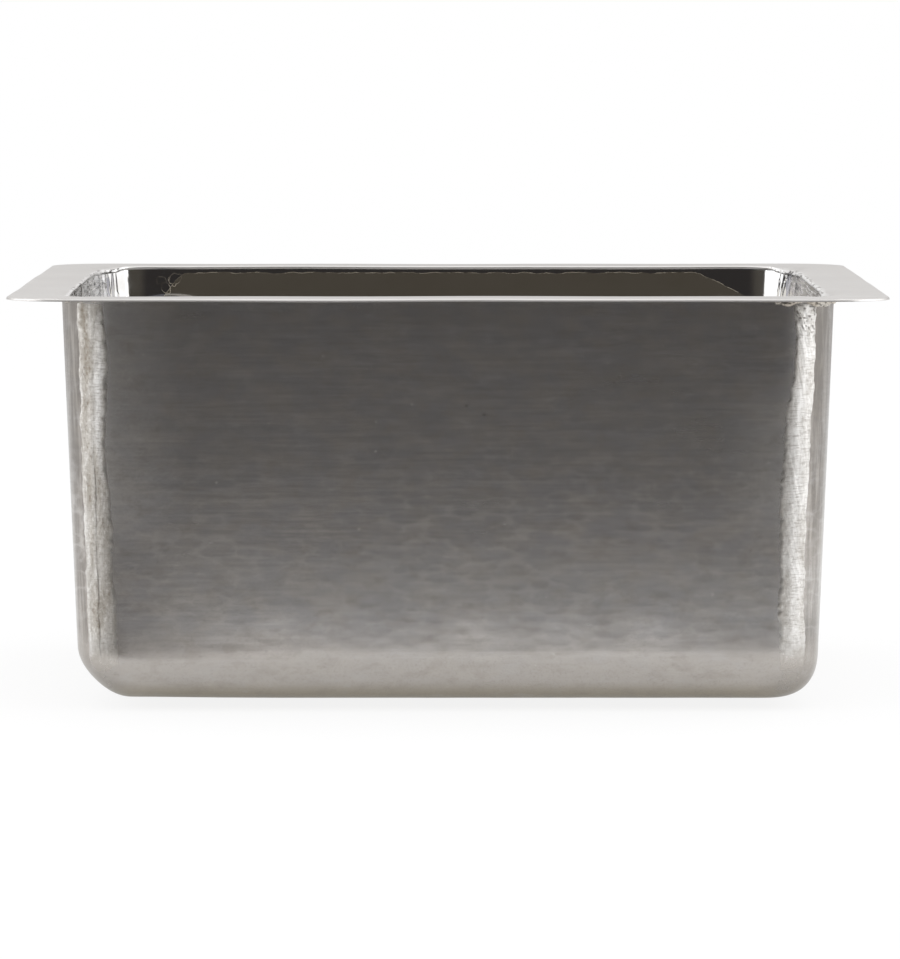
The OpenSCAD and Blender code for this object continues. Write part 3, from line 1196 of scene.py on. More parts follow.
@dataclass(frozen=True)
class Plan:
    """The closed path round the bowl, as columns: four straights, each with a corner after it."""

    axis: float
    straight: int
    turn: int
    sides: tuple[str, ...] = ("front", "right", "back", "left")
    corners: tuple[str, ...] = ("front_right", "back_right", "back_left", "front_left")

    @property
    def steps(self) -> tuple[Array, Array]:
        """Number of the side that each column belongs to, and its step along that side."""
        return np.divmod(np.arange(4 * (self.straight + self.turn)), self.straight + self.turn)

    def columns(self) -> tuple[Array, Array]:
        """Works out the columns, anticlockwise from the front left, seen from above.

        Returns:
            Their places on the square of the corner axes, and their directions outward.
        """
        side, step = self.steps
        ends = np.array([self.corner_point(number) for number in range(4)])
        start, end = ends[side - 1], ends[side]
        base = start + (end - start) * np.minimum(step / self.straight, 1.0)[:, None]
        turned = np.maximum(step - self.straight, 0) * (math.pi / 2 / self.turn)
        angle = np.radians(90.0 * (side - 1)) + turned
        return base, np.stack([np.cos(angle), np.sin(angle)], axis=-1)

    def corner_point(self, corner: int) -> Array:
        """The corner axis after a side, by the side's number."""
        signs = ((1, -1), (1, 1), (-1, 1), (-1, -1))[corner]
        return np.array(signs, float) * self.axis


def corner_share(points: Array, axis: float) -> Array:
    """How near points are to the round corners of the bowl: 0 on the straights, 1 in the corners."""
    return smoothstep(np.abs(points[..., :2]) - axis, -7.0, 10.0).prod(axis=-1)


def round_corner(points: Array, axis: float) -> tuple[Array, Array]:
    """Where points stand round the nearest corner axis.

    Args:
        points: The points.
        axis: Distance of the corner axes from the middle.

    Returns:
        How far they are past the axis sideways, and their angle, from 0 at the side to 90 degrees.
    """
    past = np.abs(points[:, :2]) - axis
    angle = np.degrees(np.arctan2(np.maximum(past[:, 1], 0.0), np.maximum(past[:, 0], 1e-6)))
    return past[:, 0], angle


def rim_drop(points: Array, sizes: SinkSizes) -> Array:
    """How far the rim lies below its highest level: gentle waves, and a roll into the corners.

    Args:
        points: Points of the rim.
        sizes: The sink's sizes.

    Returns:
        Drops, all below zero.
    """
    x, y = points[:, 0], points[:, 1]
    waves = 0.5 * np.sin(x * 0.031 + 0.8) * np.cos(y * 0.027 - 0.5) + 0.3 * np.sin(x * 0.058 - y * 0.041)
    waves = waves + 0.2 * np.sin(y * 0.083 + x * 0.017 + 2.0)
    past = np.abs(points[:, :2]) - sizes.axis
    edge = np.hypot(*np.maximum(past, 0.0).T) - sizes.lip_edge
    roll = (1.0 - np.clip(edge / 10.0, 0.0, 1.0)) ** 2
    ragged = 1.0 + 0.22 * wander(x * 0.7 + y, 7.0, 21)
    reach = smoothstep(past[:, 0], 15.0, 25.0) * smoothstep(past[:, 1], -60.0, 8.0)
    return 0.22 * (waves - 1.0) - 2.2 * roll * ragged * reach


def formed_shift(points: Array, push: Array) -> Array:
    """How the bends of the formed sheet differ from true arcs.

    Args:
        points: Points on the outside of the sheet.
        push: Directions outward.

    Returns:
        Shifts of the points.
    """
    x, y, z = points.T
    level = np.hypot(push[:, 0], push[:, 1])
    side = push[:, 0] / np.maximum(level, 1e-6)
    fuller = 2.1 * np.maximum(side, 0.0) ** 2 - 1.2 * np.maximum(-side, 0.0) ** 2
    around = x * 1.1 + y
    waver = 0.12 * wander(around, 21.0, 71) + 0.08 * wander(around, 8.0, 72) - 0.1
    low = smoothstep(z, 8.0, 24.0) * smoothstep(z, 48.0, 26.0)
    shift = push * (4.0 * (level * push[:, 2]) ** 2 * fuller + waver * low)[:, None]
    shift[:, 2] += 0.5 * smoothstep(x, -75.0, -150.0) * smoothstep(z, 30.0, 6.0)
    return shift


@dataclass
class Bowl:
    """The sheet bowl: walls, corners, bends, ball corners and floor."""

    sizes: SinkSizes
    outside: bpy.types.Material
    inside: bpy.types.Material
    plan: Plan
    fine_rows: int = 32
    fine_depth: float = 24.0
    wall_rows: int = 102
    bend_rows: int = 32
    floor_rows: int = 48

    def profile(self) -> tuple[Array, Array]:
        """Works out the outside of the sheet, from the top of the wall to the floor.

        Returns:
            Distance from the corner axis and height, and the direction outward, for each row.
        """
        size = self.sizes
        fine = size.wall_top - np.arange(self.fine_rows) * (self.fine_depth / self.fine_rows)
        rest = np.linspace(size.wall_top - self.fine_depth, size.seam, self.wall_rows + 1)
        height = np.concatenate([fine, rest])
        wall = np.stack([size.outside(height), height], axis=-1)
        facing = np.tile([math.cos(size.draft), -math.sin(size.draft)], (len(height), 1))
        turn = np.linspace(-size.draft, -math.pi / 2, self.bend_rows + 1)[1:]
        around = np.stack([np.cos(turn), np.sin(turn)], axis=-1)
        bend = around * size.bend + [0.0, size.bend_centre]
        return np.concatenate([wall, bend]), np.concatenate([facing, around])

    def skins(self) -> tuple[Shell, Array]:
        """Builds both faces of the whole bowl as one mesh.

        Returns:
            The mesh, and the number of each face's piece.
        """
        size, plan = self.sizes, self.plan
        profile, facing = self.profile()
        base, out = plan.columns()
        side, step = plan.steps
        rows = len(profile) - 1
        inner_profile = profile - facing * size.sheet
        inner_profile[:, 1] = np.minimum(inner_profile[:, 1], size.wall_top)
        square = base[step < plan.straight]
        hole = square / np.linalg.norm(square, axis=1, keepdims=True) * size.drain_edge
        share = (np.arange(self.floor_rows + 1) / self.floor_rows)[:, None, None]
        disc = (square * (1 - share) + hole * share).reshape(-1, 2)

        def whole(line: Array, floor: Array, start: Array = base) -> Array:
            """The rows above the floor, swept round the bowl, and the floor."""
            return np.concatenate([lofted(start, out, line[:rows]).reshape(-1, 3), floor])

        push = whole(facing, np.tile([0.0, 0.0, -1.0], (len(disc), 1)), np.zeros_like(base))
        outer = whole(profile, at_height(disc, size.recess))
        inner = whole(inner_profile, at_height(disc, size.recess + size.sheet))
        outer, inner = self.bent(outer, inner, push)

        ids = np.arange(rows * len(base)).reshape(rows, -1)
        floor_ids = ids.size + np.arange(len(disc)).reshape(self.floor_rows + 1, -1)
        bottom = floor_ids[0, (side * plan.straight + np.minimum(step, plan.straight)) % len(square)]
        faces = np.concatenate([ring_faces(np.vstack([ids, bottom])), ring_faces(floor_ids)])
        upper = side * 2 + (step >= plan.straight)
        below = np.arange(rows)[:, None] >= self.fine_rows + self.wall_rows
        around = len(plan.sides) + len(plan.corners)
        pieces = (upper + around * below).ravel()
        numbers = np.concatenate([pieces, np.full(len(faces) - len(pieces), 2 * around)])
        both = np.concatenate([tidy_faces(faces), tidy_faces(faces[:, ::-1] + len(outer))])
        zones = np.repeat([Skin.OUTSIDE.value, Skin.INSIDE.value], len(faces))
        shell = Shell(np.concatenate([outer, inner]), both, zones, self.marked(outer, push))
        return shell, np.tile(numbers, 2)

    def marked(self, points: Array, push: Array) -> dict[str, Array]:
        """Works out where the marks, tints and scratches of the two faces lie.

        Args:
            points: Points of the outside.
            push: Directions outward.

        Returns:
            The attributes of the mesh, the outside's before the inside's.
        """
        x, y, z = points.T
        near = corner_share(points, self.sizes.axis)
        hole = smoothstep(np.hypot(x, y), self.sizes.drain_edge, 78.0)
        past, turned = round_corner(points, self.sizes.axis)
        wide = smoothstep(past, 6.0, 20.0) * (1.0 - near)
        open_back = 1.0 - smoothstep(np.abs(y), 90.0, 140.0) * smoothstep(z, 60.0, 110.0)
        facets = hole * (0.65 * wide * smoothstep(z, 105.0, 160.0) + 0.20 * open_back)
        calm = smoothstep(turned, 64.0, 48.0) * (1.0 - 0.8 * smoothstep(turned, 43.0, 52.0))
        wrinkles = hole * near * calm * (0.3 + 0.7 * smoothstep(z, 60.0, 150.0))
        wavy = 3.0 * wander(z + 40.0 * np.sign(x), 13.0, 51) + 1.5 * wander(z, 4.0, 52)
        heat = smoothstep(turned, 0.0, 27.0 + wavy) * smoothstep(turned, 52.0, 47.0)
        scuff = np.maximum(wide, near * smoothstep(turned, 30.0, 18.0)) * smoothstep(z, 140.0, 166.0)
        outer_marks = hole * (0.50 + 0.55 * smoothstep(z, 125.0, 55.0))
        inner_marks = hole * (0.45 - 0.30 * smoothstep(y, 90.0, 150.0))
        blank = np.zeros(len(points))
        pairs = {
            "spot": (points * MM, points * MM),
            "push": (push, push),
            "marks": (outer_marks, inner_marks),
            "facets": (blank, facets),
            "wrinkles": (blank, wrinkles),
            "tint": (heat, blank),
            "scuff": (blank, scuff),
        }
        return {name: np.concatenate(pair) for name, pair in pairs.items()}

    def bent(self, outer: Array, inner: Array, push: Array) -> tuple[Array, Array]:
        """Gives the formed sheet the small differences of a bowl made by hand.

        Args:
            outer: Points of the outside.
            inner: Points of the inside, in the same order.
            push: Directions outward.

        Returns:
            The outer and the inner points.
        """
        shift = formed_shift(outer, push)
        x, y, z = outer.T
        near = corner_share(outer, self.sizes.axis)
        past, turned = round_corner(outer, self.sizes.axis)
        below = np.maximum(180.0 - z, 0.0)
        belly = 1.5 * np.minimum(below / 16.0, 1.0) * smoothstep(z, 110.0, 162.0) * near
        lean = 0.8 * np.minimum(below / 25.0, 1.0) * smoothstep(z, 110.0, 155.0)
        lean = lean * smoothstep(y, 100.0, 140.0) * (1.0 - near)
        tuck = np.where(x < 0.0, 1.4, 0.5) * smoothstep(turned, 48.0, 78.0) * smoothstep(past, -26.0, 0.0)
        tuck = tuck * smoothstep(z, 110.0, 150.0) * (y > 0.0) * (1.0 + 0.22 * wander(z, 6.0, 53))
        return outer + shift, inner + shift - push * (belly + lean + tuck)[:, None]

    def piece_names(self) -> list[str]:
        """Node names in the order of the piece numbers.

        Returns:
            The names.
        """
        rounds = (("wall", "corner"), ("bottom_bend", "ball_corner"))
        pairs = list(zip(self.plan.sides, self.plan.corners))
        names = [f"{part}_{kind}" for kinds in rounds for pair in pairs for part, kind in zip(pair, kinds)]
        return [*names, "floor_plate"]

    def build(self) -> None:
        """Builds the bowl, hammers it and places each of its pieces."""
        shell, numbers = self.skins()
        hammered = HammerMarks(self.outside).apply(shell.mesh("bowl"))
        points = np.zeros(shell.points.size, np.float32)
        hammered.vertices.foreach_get("co", points)
        bpy.data.meshes.remove(hammered)
        shell.points = points.reshape(-1, 3).astype(float) / MM
        normals = shell.corner_normals()
        for number, node in enumerate(self.piece_names()):
            chosen = numbers == number
            faces, zones = shell.faces[chosen], shell.zones[chosen]
            edge = closing_faces(faces[zones == Skin.OUTSIDE.value], len(shell.points) // 2)
            whole = np.concatenate([faces, edge])
            used = np.unique(whole[whole >= 0])
            packed = np.where(whole < 0, -1, np.searchsorted(used, whole))
            kept = {name: shell.attributes[name][used] for name in ("tint", "scuff")}
            zones = np.concatenate([zones, np.full(len(edge), Skin.EDGE.value)])
            corner = np.concatenate([normals[chosen], np.zeros((len(edge), 4, 3))])
            part = Shell(shell.points[used], packed, zones, kept)
            finishes = (self.outside, self.inside)
            mesh = part.mesh(f"{node}_sheet", *finishes, normals=corner, flat=Skin.EDGE.value)
            place_piece(f"{node}_sheet", mesh, node)


@dataclass
class Rim:
    """The flat rim and the lip round the opening."""

    sizes: SinkSizes
    satin: bpy.types.Material
    plan: Plan
    rows: int = 16
    edge_round: float = 0.7
    edge_height: float = 1.0
    edge_steps: int = 5
    under_ease: float = 0.05
    bevel: Span = (0.6, 0.5)
    nose_steps: int = 8
    lip_insets: Triple = (0.0, 1.2, 2.4)
    lip_under: float = 1.3

    def flange(self) -> Shell:
        """Builds the flat of the rim, with eased edges and the weld's bevel underneath.

        Returns:
            Its mesh.
        """
        size = self.sizes
        base, out = self.plan.columns()
        inner = base + out * size.top_corner
        outer = base * (size.rim_axis / size.axis) + out * size.rim_corner
        reach = np.linalg.norm(outer - inner, axis=1, keepdims=True)
        across = np.linspace(0.0, 1.0, self.rows + 1)
        shares = (*across[:-1], 1.0 - self.edge_round / reach)
        lines = [(inner + (outer - inner) * share, size.rim_top, 0) for share in shares]
        for turn in np.linspace(0.0, math.pi / 2, self.edge_steps + 1)[1:]:
            inset = self.edge_round * (1.0 - math.sin(turn))
            lines.append((outer - out * inset, size.rim_top - self.edge_height * (1.0 - math.cos(turn)), 0))
        lines.append((outer - out * self.under_ease, size.rim_under + self.under_ease, 0))
        lines.append((outer - out * self.under_ease * 3, size.rim_under, 0))
        lines += [(inner + (outer - inner) * share, size.rim_under, 0) for share in across[-2:0:-1]]
        lines.append((inner + out * self.bevel[0], size.rim_under, 1))
        lines.append((inner, size.rim_under + self.bevel[1], 2))
        sections = np.stack([at_height(flat, height) for flat, height, _ in lines], axis=1)
        shell = Shell.swept(sections, [zone for _, _, zone in lines])
        shell.points[:, 2] += rim_drop(shell.points, size)
        return shell

    def lip(self) -> Shell:
        """Builds the half-round edge of the opening, uneven in the corners.

        Returns:
            Its mesh.
        """
        size = self.sizes
        nose = size.lip_height / 2
        line = [(size.top_corner - inset, size.rim_top, 0) for inset in self.lip_insets]
        for turn in np.linspace(math.pi / 2, 1.5 * math.pi, self.nose_steps + 1):
            radius = size.lip_edge + nose * (1.0 + math.cos(turn))
            line.append((radius, size.wall_top + nose * (1.0 + math.sin(turn)), 0))
        under = size.top_corner - self.lip_under
        line += [(under, size.wall_top, 0), (size.top_corner, size.wall_top, 1)]
        outline = np.array(line)
        base, out = self.plan.columns()
        points = lofted(base, out, outline).swapaxes(0, 1)
        place = points[:, 3:4]
        past = np.abs(place[..., :2]) - size.axis
        near = smoothstep(past[..., 0], 12.0, 20.0) * smoothstep(past[..., 1], -30.0, 8.0)
        lengths = np.hypot(*np.diff(place[:, 0, :2], axis=0).T)
        along = np.cumsum([0.0, *lengths])[:, None]
        radius = outline[None, :, 0]
        inward = np.clip((size.top_corner - radius) / size.lip_width, 0.0, 1.0)
        ticks = 0.30 * wander(along, 2.6, 31) + 0.22 * wander(along, 1.2, 32)
        left = smoothstep(place[..., 0], -128.0, -160.0)
        shift = inward * (near * ticks + 0.10 * wander(along, 17.0, 33) + 2.2 * left)
        points[..., :2] += out[:, None] * shift[..., None]
        points[..., 2] -= 0.25 * (1.0 + wander(along + radius * 2.0, 2.3, 34)) * near * inward
        shell = Shell.swept(points, outline[:, 2].astype(int))
        shell.points[:, 2] += rim_drop(shell.points, size)
        sides = smoothstep(np.abs(place[..., 0]), 151.0, 159.0)
        shell.attributes = {"nicks": (sides * smoothstep(inward, 0.35, 0.75)).ravel()}
        return shell

    def build(self) -> None:
        """Builds the rim and the lip and places them."""
        for node, name, shell in (
            ("rim_flange", "rim_flange_plate", self.flange()),
            ("rim_lip", "rim_lip_edge", self.lip()),
        ):
            mesh = shell.mesh(name, self.satin, normals=shell.corner_normals())
            place_piece(name, mesh, node)


@dataclass(frozen=True)
class WeldSide:
    """What differs between the corner welds at the left and at the right.

    The two edges are angles round the corner, in degrees from the side, at the levels of a filed
    strip. The bright band, a painted highlight, has its middle and its breadth in shares of the
    strip's width, and rises and ends between heights in millimetres. Split is the share of the
    crack at its foot.
    """

    side_edge: tuple[float, ...]
    front_edge: tuple[float, ...]
    middle: float
    breadth: float
    strength: float
    bright_from: Span
    bright_to: Span
    split: float


LEFT_WELD = WeldSide(
    side_edge=(38.0, 39.5, 39.0, 39.5, 38.0, 40.0, 40.0),
    front_edge=(76.0, 76.0, 74.0, 72.0, 69.0, 71.0, 68.0),
    middle=0.78,
    breadth=0.14,
    strength=1.0,
    bright_from=(86.0, 125.0),
    bright_to=(168.0, 156.0),
    split=1.0,
)
RIGHT_WELD = WeldSide(
    side_edge=(42.0, 46.0, 46.0, 47.0, 45.0, 43.0, 43.0),
    front_edge=(72.0, 77.0, 77.0, 76.0, 74.0, 68.0, 66.0),
    middle=0.45,
    breadth=0.32,
    strength=0.9,
    bright_from=(18.0, 32.0),
    bright_to=(200.0, 190.0),
    split=0.0,
)


@dataclass
class FiledStrip:
    """The filed weld of one corner: a thin strip with wavering edges.

    Values down the strip are columns of numbers and shares across it are a row of numbers.
    """

    sizes: SinkSizes
    plan: Plan
    corner: int
    columns: int = 40
    pitch: float = 0.7
    top_gap: float = 1.4
    foot: float = math.radians(52.0)
    levels: tuple[float, ...] = (20.0, 50.0, 62.0, 84.0, 115.0, 147.0, 169.0)
    buried: float = -0.5
    crumpled_corner: int = 0

    def __post_init__(self) -> None:
        """Works out the strip's grid and its random values."""
        size = self.sizes
        self.side = LEFT_WELD if self.corner in (2, 3) else RIGHT_WELD
        self.seed = 60 + self.corner * 10
        top = size.rim_under - self.top_gap
        wall = (top - size.seam) / math.cos(size.draft)
        length = wall + (self.foot - size.draft) * size.bend
        along = np.linspace(0.0, length, int(length / self.pitch) + 1)[:, None]
        turn = -size.draft - np.maximum(along - wall, 0.0) / size.bend
        straight = top - along * math.cos(size.draft)
        height = np.where(along <= wall, straight, size.bend_centre + size.bend * np.sin(turn))
        self.radius = np.where(along <= wall, size.outside(straight), size.bend * np.cos(turn))
        self.along, self.turn, self.height = along, turn, height
        self.across = np.linspace(0.0, 1.0, self.columns + 1)[None]
        first = np.interp(height, self.levels, self.side.side_edge)
        first = first + 1.4 * self.random(7.5, 1) + 0.7 * self.random(1.9, 2)
        last = np.interp(height, self.levels, self.side.front_edge)
        last = last + 2.0 * self.random(17.0, 3) + 1.6 * np.abs(self.random(3.4, 0))
        self.angle = first * (1 - self.across) + last * self.across
        self.crumpled = smoothstep(height, 158.0, 170.0) * (self.corner == self.crumpled_corner)
        self.folds = self.random(2.4, 12, 8.0, -2.6) + 0.6 * self.random(2.2, 13, 21.0)

    def random(self, step: float, number: int, across: float = 0.0, down: float = 1.0) -> Array:
        """Smooth random values of the strip.

        Args:
            step: Distance between the random knots.
            number: Which values.
            across: How far the pattern moves on over the strip's width.
            down: How far it moves on for each millimetre down the strip.

        Returns:
            Values from -1 to 1, for each row or for each point.
        """
        place = self.along * down
        if across:
            place = place + self.across * across
        return wander(place, step, self.seed + number)

    @staticmethod
    def peak(place: Any, middle: float, breadth: float) -> Array:
        """A smooth peak of 1 at a place."""
        return np.exp(-(((place - middle) / breadth) ** 2))

    def lift(self) -> Array:
        """Works out how far the strip stands off the sheet.

        Returns:
            The height of each point.
        """
        across = self.across
        edges = np.abs(2.0 * across - 1.0)
        ridge = 0.05 * wander(across * 26.0 + 2.0 * self.random(9.0, 4), 4.0, self.seed + 5)
        chips = 0.035 * (self.random(1.1, 6, 31.0, 0.7) + self.random(1.6, 7, 17.0, -0.9))
        chips = (chips + 0.06 * self.peak(across, 0.13, 0.05)) * (1.0 + self.crumpled)
        chips = chips + 0.16 * self.crumpled * self.folds
        whole = 0.30 * (1.0 - edges**4) - 0.05 + (ridge + chips) * (1.0 - edges**6)
        ends = smoothstep(self.along, 0.0, 3.0) * smoothstep(self.height, 17.0, 36.0)
        lift = np.minimum(whole * ends - 0.12 * (1.0 - ends), 0.40)
        return np.where(across < 0.07, -0.14, lift)

    def looks(self) -> dict[str, Array]:
        """Works out where the strip is dark, aged and blended into the sheet, and where its painted highlight
        lies.

        Returns:
            The shares, for each point.
        """
        across, height, side = self.across, self.height, self.side
        drift = 0.08 * self.random(14.0, 10)
        lower = smoothstep(height, 125.0, 108.0) * smoothstep(height, 20.0, 30.0)
        lower = lower * smoothstep(self.angle, 55.0, 58.0) * side.split
        # painted highlight: a bright band down the strip
        bright = side.strength * self.peak(across + drift, side.middle, side.breadth)
        bright = bright * smoothstep(height, *side.bright_from) * smoothstep(height, *side.bright_to)
        worn = 0.45 + 0.4 * smoothstep(height, 120.0, 168.0)
        mottle = smoothstep(self.random(8.0, 9, 9.0), -0.5, 0.7)
        aged = self.peak(across + drift, 0.36, 0.15) * worn + 0.35 * mottle + 0.35 * lower
        patchy = smoothstep(self.random(11.0, 8), -0.5, 0.3) * smoothstep(height, 30.0, 42.0)
        joint = np.clip(1.0 - np.abs(across - 0.03) / 0.045, 0.0, 1.0) * patchy
        split = 0.8 * self.peak(self.angle - self.random(5.0, 0), 57.0, 0.6) * lower
        creases = 0.7 * self.crumpled * smoothstep(np.abs(self.folds), 0.24, 0.06)
        frayed = 0.05 * self.random(2.2, 11)
        edges = smoothstep(across + frayed, 0.88, 1.0) + smoothstep(across - frayed, 0.06, 0.0)
        return {
            "joint": np.maximum(np.maximum(joint, split), creases),
            "aged": np.clip(aged, 0.0, 1.0) * (1.0 - 0.8 * bright),
            "blend": np.maximum(edges, smoothstep(height, 36.0, 19.0)),
            "bright": bright,
        }

    def laid(self, rise: Array) -> Array:
        """The strip at a height above the sheet."""
        corner = self.plan.corner_point(self.corner)
        around = np.radians(self.angle)
        out = np.stack([np.cos(around), np.sin(around)], axis=-1) * np.sign(corner)
        flat = corner + out * (self.radius + np.cos(self.turn) * rise)[..., None]
        tall = self.height + np.sin(self.turn) * rise
        return np.concatenate([flat, tall[..., None]], axis=-1).reshape(-1, 3)

    def shell(self) -> Shell:
        """Builds the strip.

        Returns:
            Its mesh.
        """
        lift = self.lift()
        sheet = self.laid(np.zeros_like(lift))
        shift = formed_shift(sheet, self.laid(np.ones_like(lift)) - sheet)
        points = [self.laid(rise) + shift for rise in (lift, np.full_like(lift, self.buried))]
        faces = grid_faces(np.arange(lift.size).reshape(lift.shape))
        if np.prod(self.plan.corner_point(self.corner)) < 0:
            faces = faces[:, ::-1]
        both = np.concatenate([faces, faces[:, ::-1] + lift.size, closing_faces(faces, lift.size)])
        zones = (np.arange(len(both)) >= len(faces)).astype(int)
        hidden = np.zeros(lift.size)
        looks = {name: np.concatenate([part.ravel(), hidden]) for name, part in self.looks().items()}
        return Shell(np.concatenate(points), both, zones, looks)


@dataclass
class Welds:
    """The beads under the rim and round the drain, and the filed welds up the corners."""

    sizes: SinkSizes
    bead: bpy.types.Material
    filed: bpy.types.Material
    plan: Plan
    rim_bead_drop: float = 0.3
    drain_bead_drop: float = 0.8
    drain_bead_swell: float = 0.9

    def rim_path(self) -> bpy.types.Mesh:
        """Builds the path of the bead under the rim.

        Returns:
            A mesh of edges.
        """
        size = self.sizes
        base, out = self.plan.columns()
        height = size.rim_under - self.rim_bead_drop
        points = at_height(base + out * (size.outside(height) + 0.05), height)
        points[:, 2] += rim_drop(points, size)
        near = corner_share(points, size.axis)
        order = np.arange(len(points))
        swell = 0.24 + 0.08 * wander(order, 9.0, 42) + 0.10 * near * (1.0 + wander(order, 6.0, 41))
        right = smoothstep(points[:, 0], 128.0, 150.0) * smoothstep(points[:, 1], -120.0, -160.0)
        swell = swell + (0.62 + 0.45 * wander(order, 3.0, 43)) * right
        points[:, 2] -= 0.9 * swell
        return path_mesh("rim bead path", points, swell)

    def drain_path(self) -> bpy.types.Mesh:
        """Builds the path of the bead under the joint of the drain recess.

        Returns:
            A mesh of edges.
        """
        height = self.sizes.recess - self.drain_bead_drop
        points = at_height(circle(240) * self.sizes.drain_edge, height)
        return path_mesh("drain bead path", points, np.full(len(points), self.drain_bead_swell))

    def build(self) -> None:
        """Builds the welds and places them."""
        for node, path, seed in (("rim_weld", self.rim_path(), 5), ("drain_weld", self.drain_path(), 6)):
            mesh = RippledBead(self.bead, seed=seed).apply(path)
            mesh.name = f"{node}_bead"
            place_piece(mesh.name, mesh, node)
        for corner, name in enumerate(self.plan.corners):
            shell = FiledStrip(self.sizes, self.plan, corner).shell()
            mesh = shell.mesh(f"{name}_weld_strip", self.filed, normals=shell.corner_normals())
            place_piece(mesh.name, mesh, f"{name}_corner_weld")


@dataclass
class Drain:
    """The dished recess round the drain hole."""

    sizes: SinkSizes
    outside: bpy.types.Material
    inside: bpy.types.Material
    steps: int = 240

    def lathe(self, line: list[tuple[float, float, Skin]]) -> Shell:
        """Turns a closed outline about the middle.

        Args:
            line: Radius and height of its points, each with the skin after it.

        Returns:
            The ring.
        """
        out = circle(self.steps)
        outline = np.array([(radius, height) for radius, height, _ in line[::-1]])
        points = lofted(np.zeros_like(out), out, outline).swapaxes(0, 1)
        return Shell.swept(points, np.roll([skin.value for _, _, skin in line[::-1]], -1))

    def build(self) -> None:
        """Builds the slope and the seat and places them."""
        size, sheet = self.sizes, self.sizes.sheet
        hole, seat_edge, slope, floor = size.drain_hole, size.drain_seat, size.drain_slope, size.recess
        under_seat, under_slope = seat_edge + size.slope_shift, slope + size.slope_shift
        lines = {
            "drain_slope": [
                (seat_edge, sheet, Skin.INSIDE),
                (seat_edge + 0.6, sheet + 0.3, Skin.INSIDE),
                (slope - 0.8, floor + sheet - 0.4, Skin.INSIDE),
                (slope, floor + sheet - 0.05, Skin.INSIDE),
                (slope + 0.8, floor + sheet, Skin.INSIDE),
                (size.drain_edge, floor + sheet, Skin.EDGE),
                (size.drain_edge, floor, Skin.OUTSIDE),
                (under_slope + 0.8, floor, Skin.OUTSIDE),
                (under_slope, floor - 0.1, Skin.OUTSIDE),
                (under_seat + 0.8, 0.5, Skin.OUTSIDE),
                (under_seat, 0.0, Skin.EDGE),
            ],
            "drain_seat": [
                (hole + 0.2, sheet, Skin.INSIDE),
                (seat_edge, sheet, Skin.EDGE),
                (under_seat, 0.0, Skin.OUTSIDE),
                (hole + 0.2, 0.0, Skin.OUTSIDE),
                (hole, 0.2, Skin.OUTSIDE),
                (hole, sheet - 0.2, Skin.INSIDE),
            ],
        }
        for node, line in lines.items():
            shell = self.lathe(line)
            finishes = (self.outside, self.inside)
            mesh = shell.mesh(f"{node}_dish", *finishes, normals=shell.corner_normals())
            place_piece(mesh.name, mesh, node)


# The studio


@dataclass(frozen=True)
class Card:
    """A card that shows only in reflections. Sizes and places are in metres, turns in degrees.

    Its brightness changes into a far one over a span of its own Y axis, if a far one is given.
    """

    name: str
    size: Span
    place: Triple
    turn: Triple
    colour: Colour
    far: Colour | None = None
    fade: Span = (0.35, 1.70)

    def build(self) -> None:
        """Puts up the card."""
        paint = Painter(self.name)
        tone = paint.mix(paint.y.ramp(*self.fade), self.colour, self.far or self.colour)
        card = flat_piece(self.name, self.size, self.place, paint.shown(paint.glow(tone)))
        card.rotation_euler = tuple(math.radians(angle) for angle in self.turn)
        card.visible_camera = False
        card.visible_diffuse = False
        card.visible_shadow = False
        card.visible_transmission = False


@dataclass(frozen=True)
class Lamp:
    """A square soft lamp that points at the sink. Its power is in watts."""

    name: str
    width: float
    power: float
    place: Triple
    aim: Triple = (0.0, 0.0, 0.09)

    def build(self) -> None:
        """Hangs the lamp."""
        data = bpy.data.lights.new(self.name, "AREA")
        data.size = self.width
        data.energy = self.power
        lamp = bpy.data.objects.new(self.name, data)
        lamp.location = self.place
        x, y, z = np.array(self.aim) - np.array(self.place)
        tip = math.pi / 2 + math.atan2(z, math.hypot(x, y))
        lamp.rotation_euler = (tip, 0.0, math.atan2(y, x) - math.pi / 2)
        lamp.visible_camera = False
        bpy.context.scene.collection.objects.link(lamp)


def flat_piece(name: str, size: Span, place: Triple, finish: bpy.types.Material) -> bpy.types.Object:
    """Puts a level rectangle into the scene, as stage.

    Args:
        name: Its name.
        size: Its width and depth.
        place: Its middle.
        finish: Its material.

    Returns:
        The rectangle.
    """
    mesh = bpy.data.meshes.new(name)
    x, y = size[0] / 2, size[1] / 2
    mesh.from_pydata([(-x, -y, 0.0), (x, -y, 0.0), (x, y, 0.0), (-x, y, 0.0)], [], [(0, 1, 2, 3)])
    mesh.materials.append(finish)
    piece = bpy.data.objects.new(name, mesh)
    piece.location = place
    bpy.context.scene.collection.objects.link(piece)
    return piece


FLAT: Triple = (0.0, 0.0, 0.0)
UPRIGHT: Triple = (90.0, 0.0, 0.0)
SIDEWAYS: Triple = (90.0, 0.0, 90.0)
WHITE: Colour = (1.0, 1.0, 1.0)
BRIGHT: Colour = (1.8, 1.8, 1.8)
GREY: Colour = (0.390, 0.378, 0.368)


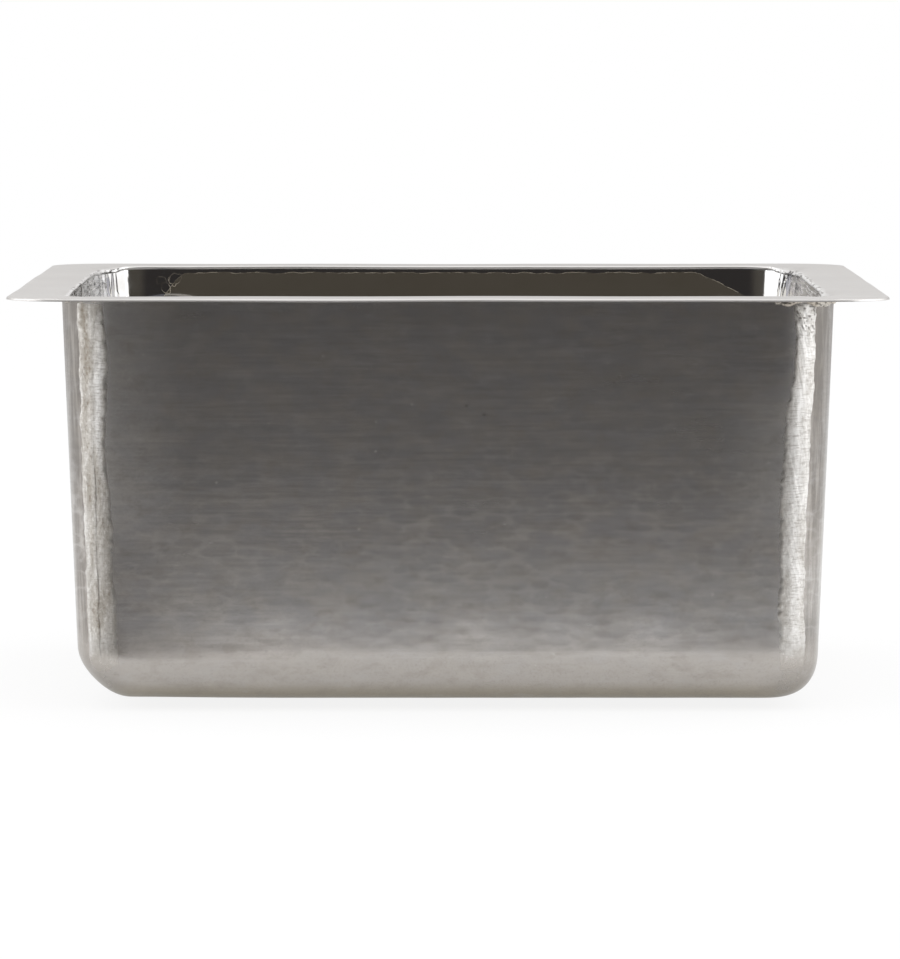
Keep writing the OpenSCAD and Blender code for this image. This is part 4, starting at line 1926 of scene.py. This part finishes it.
@dataclass
class Studio:
    """Camera, floor, cards, lamps and world round the sink."""

    lens: float = 252.9
    camera_place: Triple = (0.0009, -3.06936, 0.31009)
    camera_pitch: float = 85.894
    stage: tuple[Card | Lamp, ...] = (
        Card("dark floor card", (5.0, 3.36), (0.0, -1.99, 0.003), FLAT, (0.152, 0.147, 0.143), GREY),
        Card(
            "dark corner card",
            (0.11, 1.0),
            (-0.57, -0.255, 0.003),
            (0.0, 0.0, -90.0),
            GREY,
            (0.95, 0.94, 0.93),
            (0.38, 0.50),
        ),
        Card("dark front card", (16.0, 1.8), (0.0, -3.9, 0.70), UPRIGHT, (0.092, 0.083, 0.070)),
        Card("left side card", (1.20, 0.52), (-1.15, -0.20, 0.43), SIDEWAYS, BRIGHT),
        Card("right side card", (0.90, 0.52), (1.15, -0.05, 0.43), SIDEWAYS, BRIGHT),
        Card("grey back card", (5.0, 0.9), (0.0, 1.7, 0.455), UPRIGHT, (0.67, 0.655, 0.645)),
        Lamp("left softbox", 0.9, 3.6, (-1.25, -0.45, 0.55)),
        Lamp("right softbox", 0.9, 4.8, (1.25, -0.45, 0.55)),
        Lamp("top softbox", 1.4, 5.0, (0.0, 0.3, 1.9)),
    )

    def camera(self) -> None:
        """Sets up the camera at the photograph's angle."""
        data = bpy.data.cameras.new("camera")
        data.lens = self.lens
        data.sensor_width = 36.0
        data.clip_end = 100.0
        camera = bpy.data.objects.new("camera", data)
        camera.location = self.camera_place
        camera.rotation_euler = (math.radians(self.camera_pitch), 0.0, 0.0)
        bpy.context.scene.collection.objects.link(camera)
        bpy.context.scene.camera = camera

    def floor(self) -> None:
        """Lays the pale floor, which keeps the sink's shadow."""
        paint = Painter("pale floor")
        camera, glossy, through = paint.rays()
        speckle = paint.pattern(Pattern((60.0, 60.0, 60.0)))
        tone = paint.mix(speckle, (0.91, 0.91, 0.91), (0.90, 0.90, 0.90))
        matt = paint.wire("ShaderNodeBsdfDiffuse", None, {"Color": tone})
        share = (camera * 0.86 + glossy * 0.30 + through * 0.30).least(1.0)
        mixed = paint.wire("ShaderNodeMixShader", None, {0: share, 1: matt, 2: paint.glow((*WHITE, 1.0))})
        flat_piece("floor", (16.0, 16.0), (0.0, 0.0, -0.0002), paint.shown(mixed))

    def world(self) -> None:
        """Lights the scene evenly, with white behind it."""
        world = bpy.data.worlds.new("studio")
        world.use_nodes = True
        bpy.context.scene.world = world
        net = Net(world.node_tree)
        net.tree.nodes.clear()
        camera, glossy, through = net.rays()
        strength = 1.10 - (camera + glossy + through).least(1.0) * 0.10
        back = net.wire("ShaderNodeBackground", None, {"Color": (*WHITE, 1.0), "Strength": strength})
        net.node("ShaderNodeOutputWorld", None, {"Surface": back})

    def build(self) -> None:
        """Sets everything up."""
        self.camera()
        self.floor()
        self.world()
        for piece in self.stage:
            piece.build()


# Making


def main() -> None:
    """Builds every part of the sink and the studio round it."""
    logging.basicConfig(level=logging.INFO, format="%(name)s: %(message)s")
    bpy.context.scene.view_settings.view_transform = "Standard"
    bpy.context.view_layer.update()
    sizes = SinkSizes()
    plan = Plan(sizes.axis, straight=220, turn=56)
    rim_plan = Plan(sizes.axis, straight=150, turn=64)
    outside = BrushedOutside().material()
    inside = PolishedInside().material()
    Bowl(sizes, outside, inside, plan).build()
    Rim(sizes, SatinRim().material(), rim_plan).build()
    Welds(sizes, WeldBead().material(), FiledWeld().material(), rim_plan).build()
    Drain(sizes, outside, inside).build()
    Studio().build()


if __name__ == "__main__":
    main()
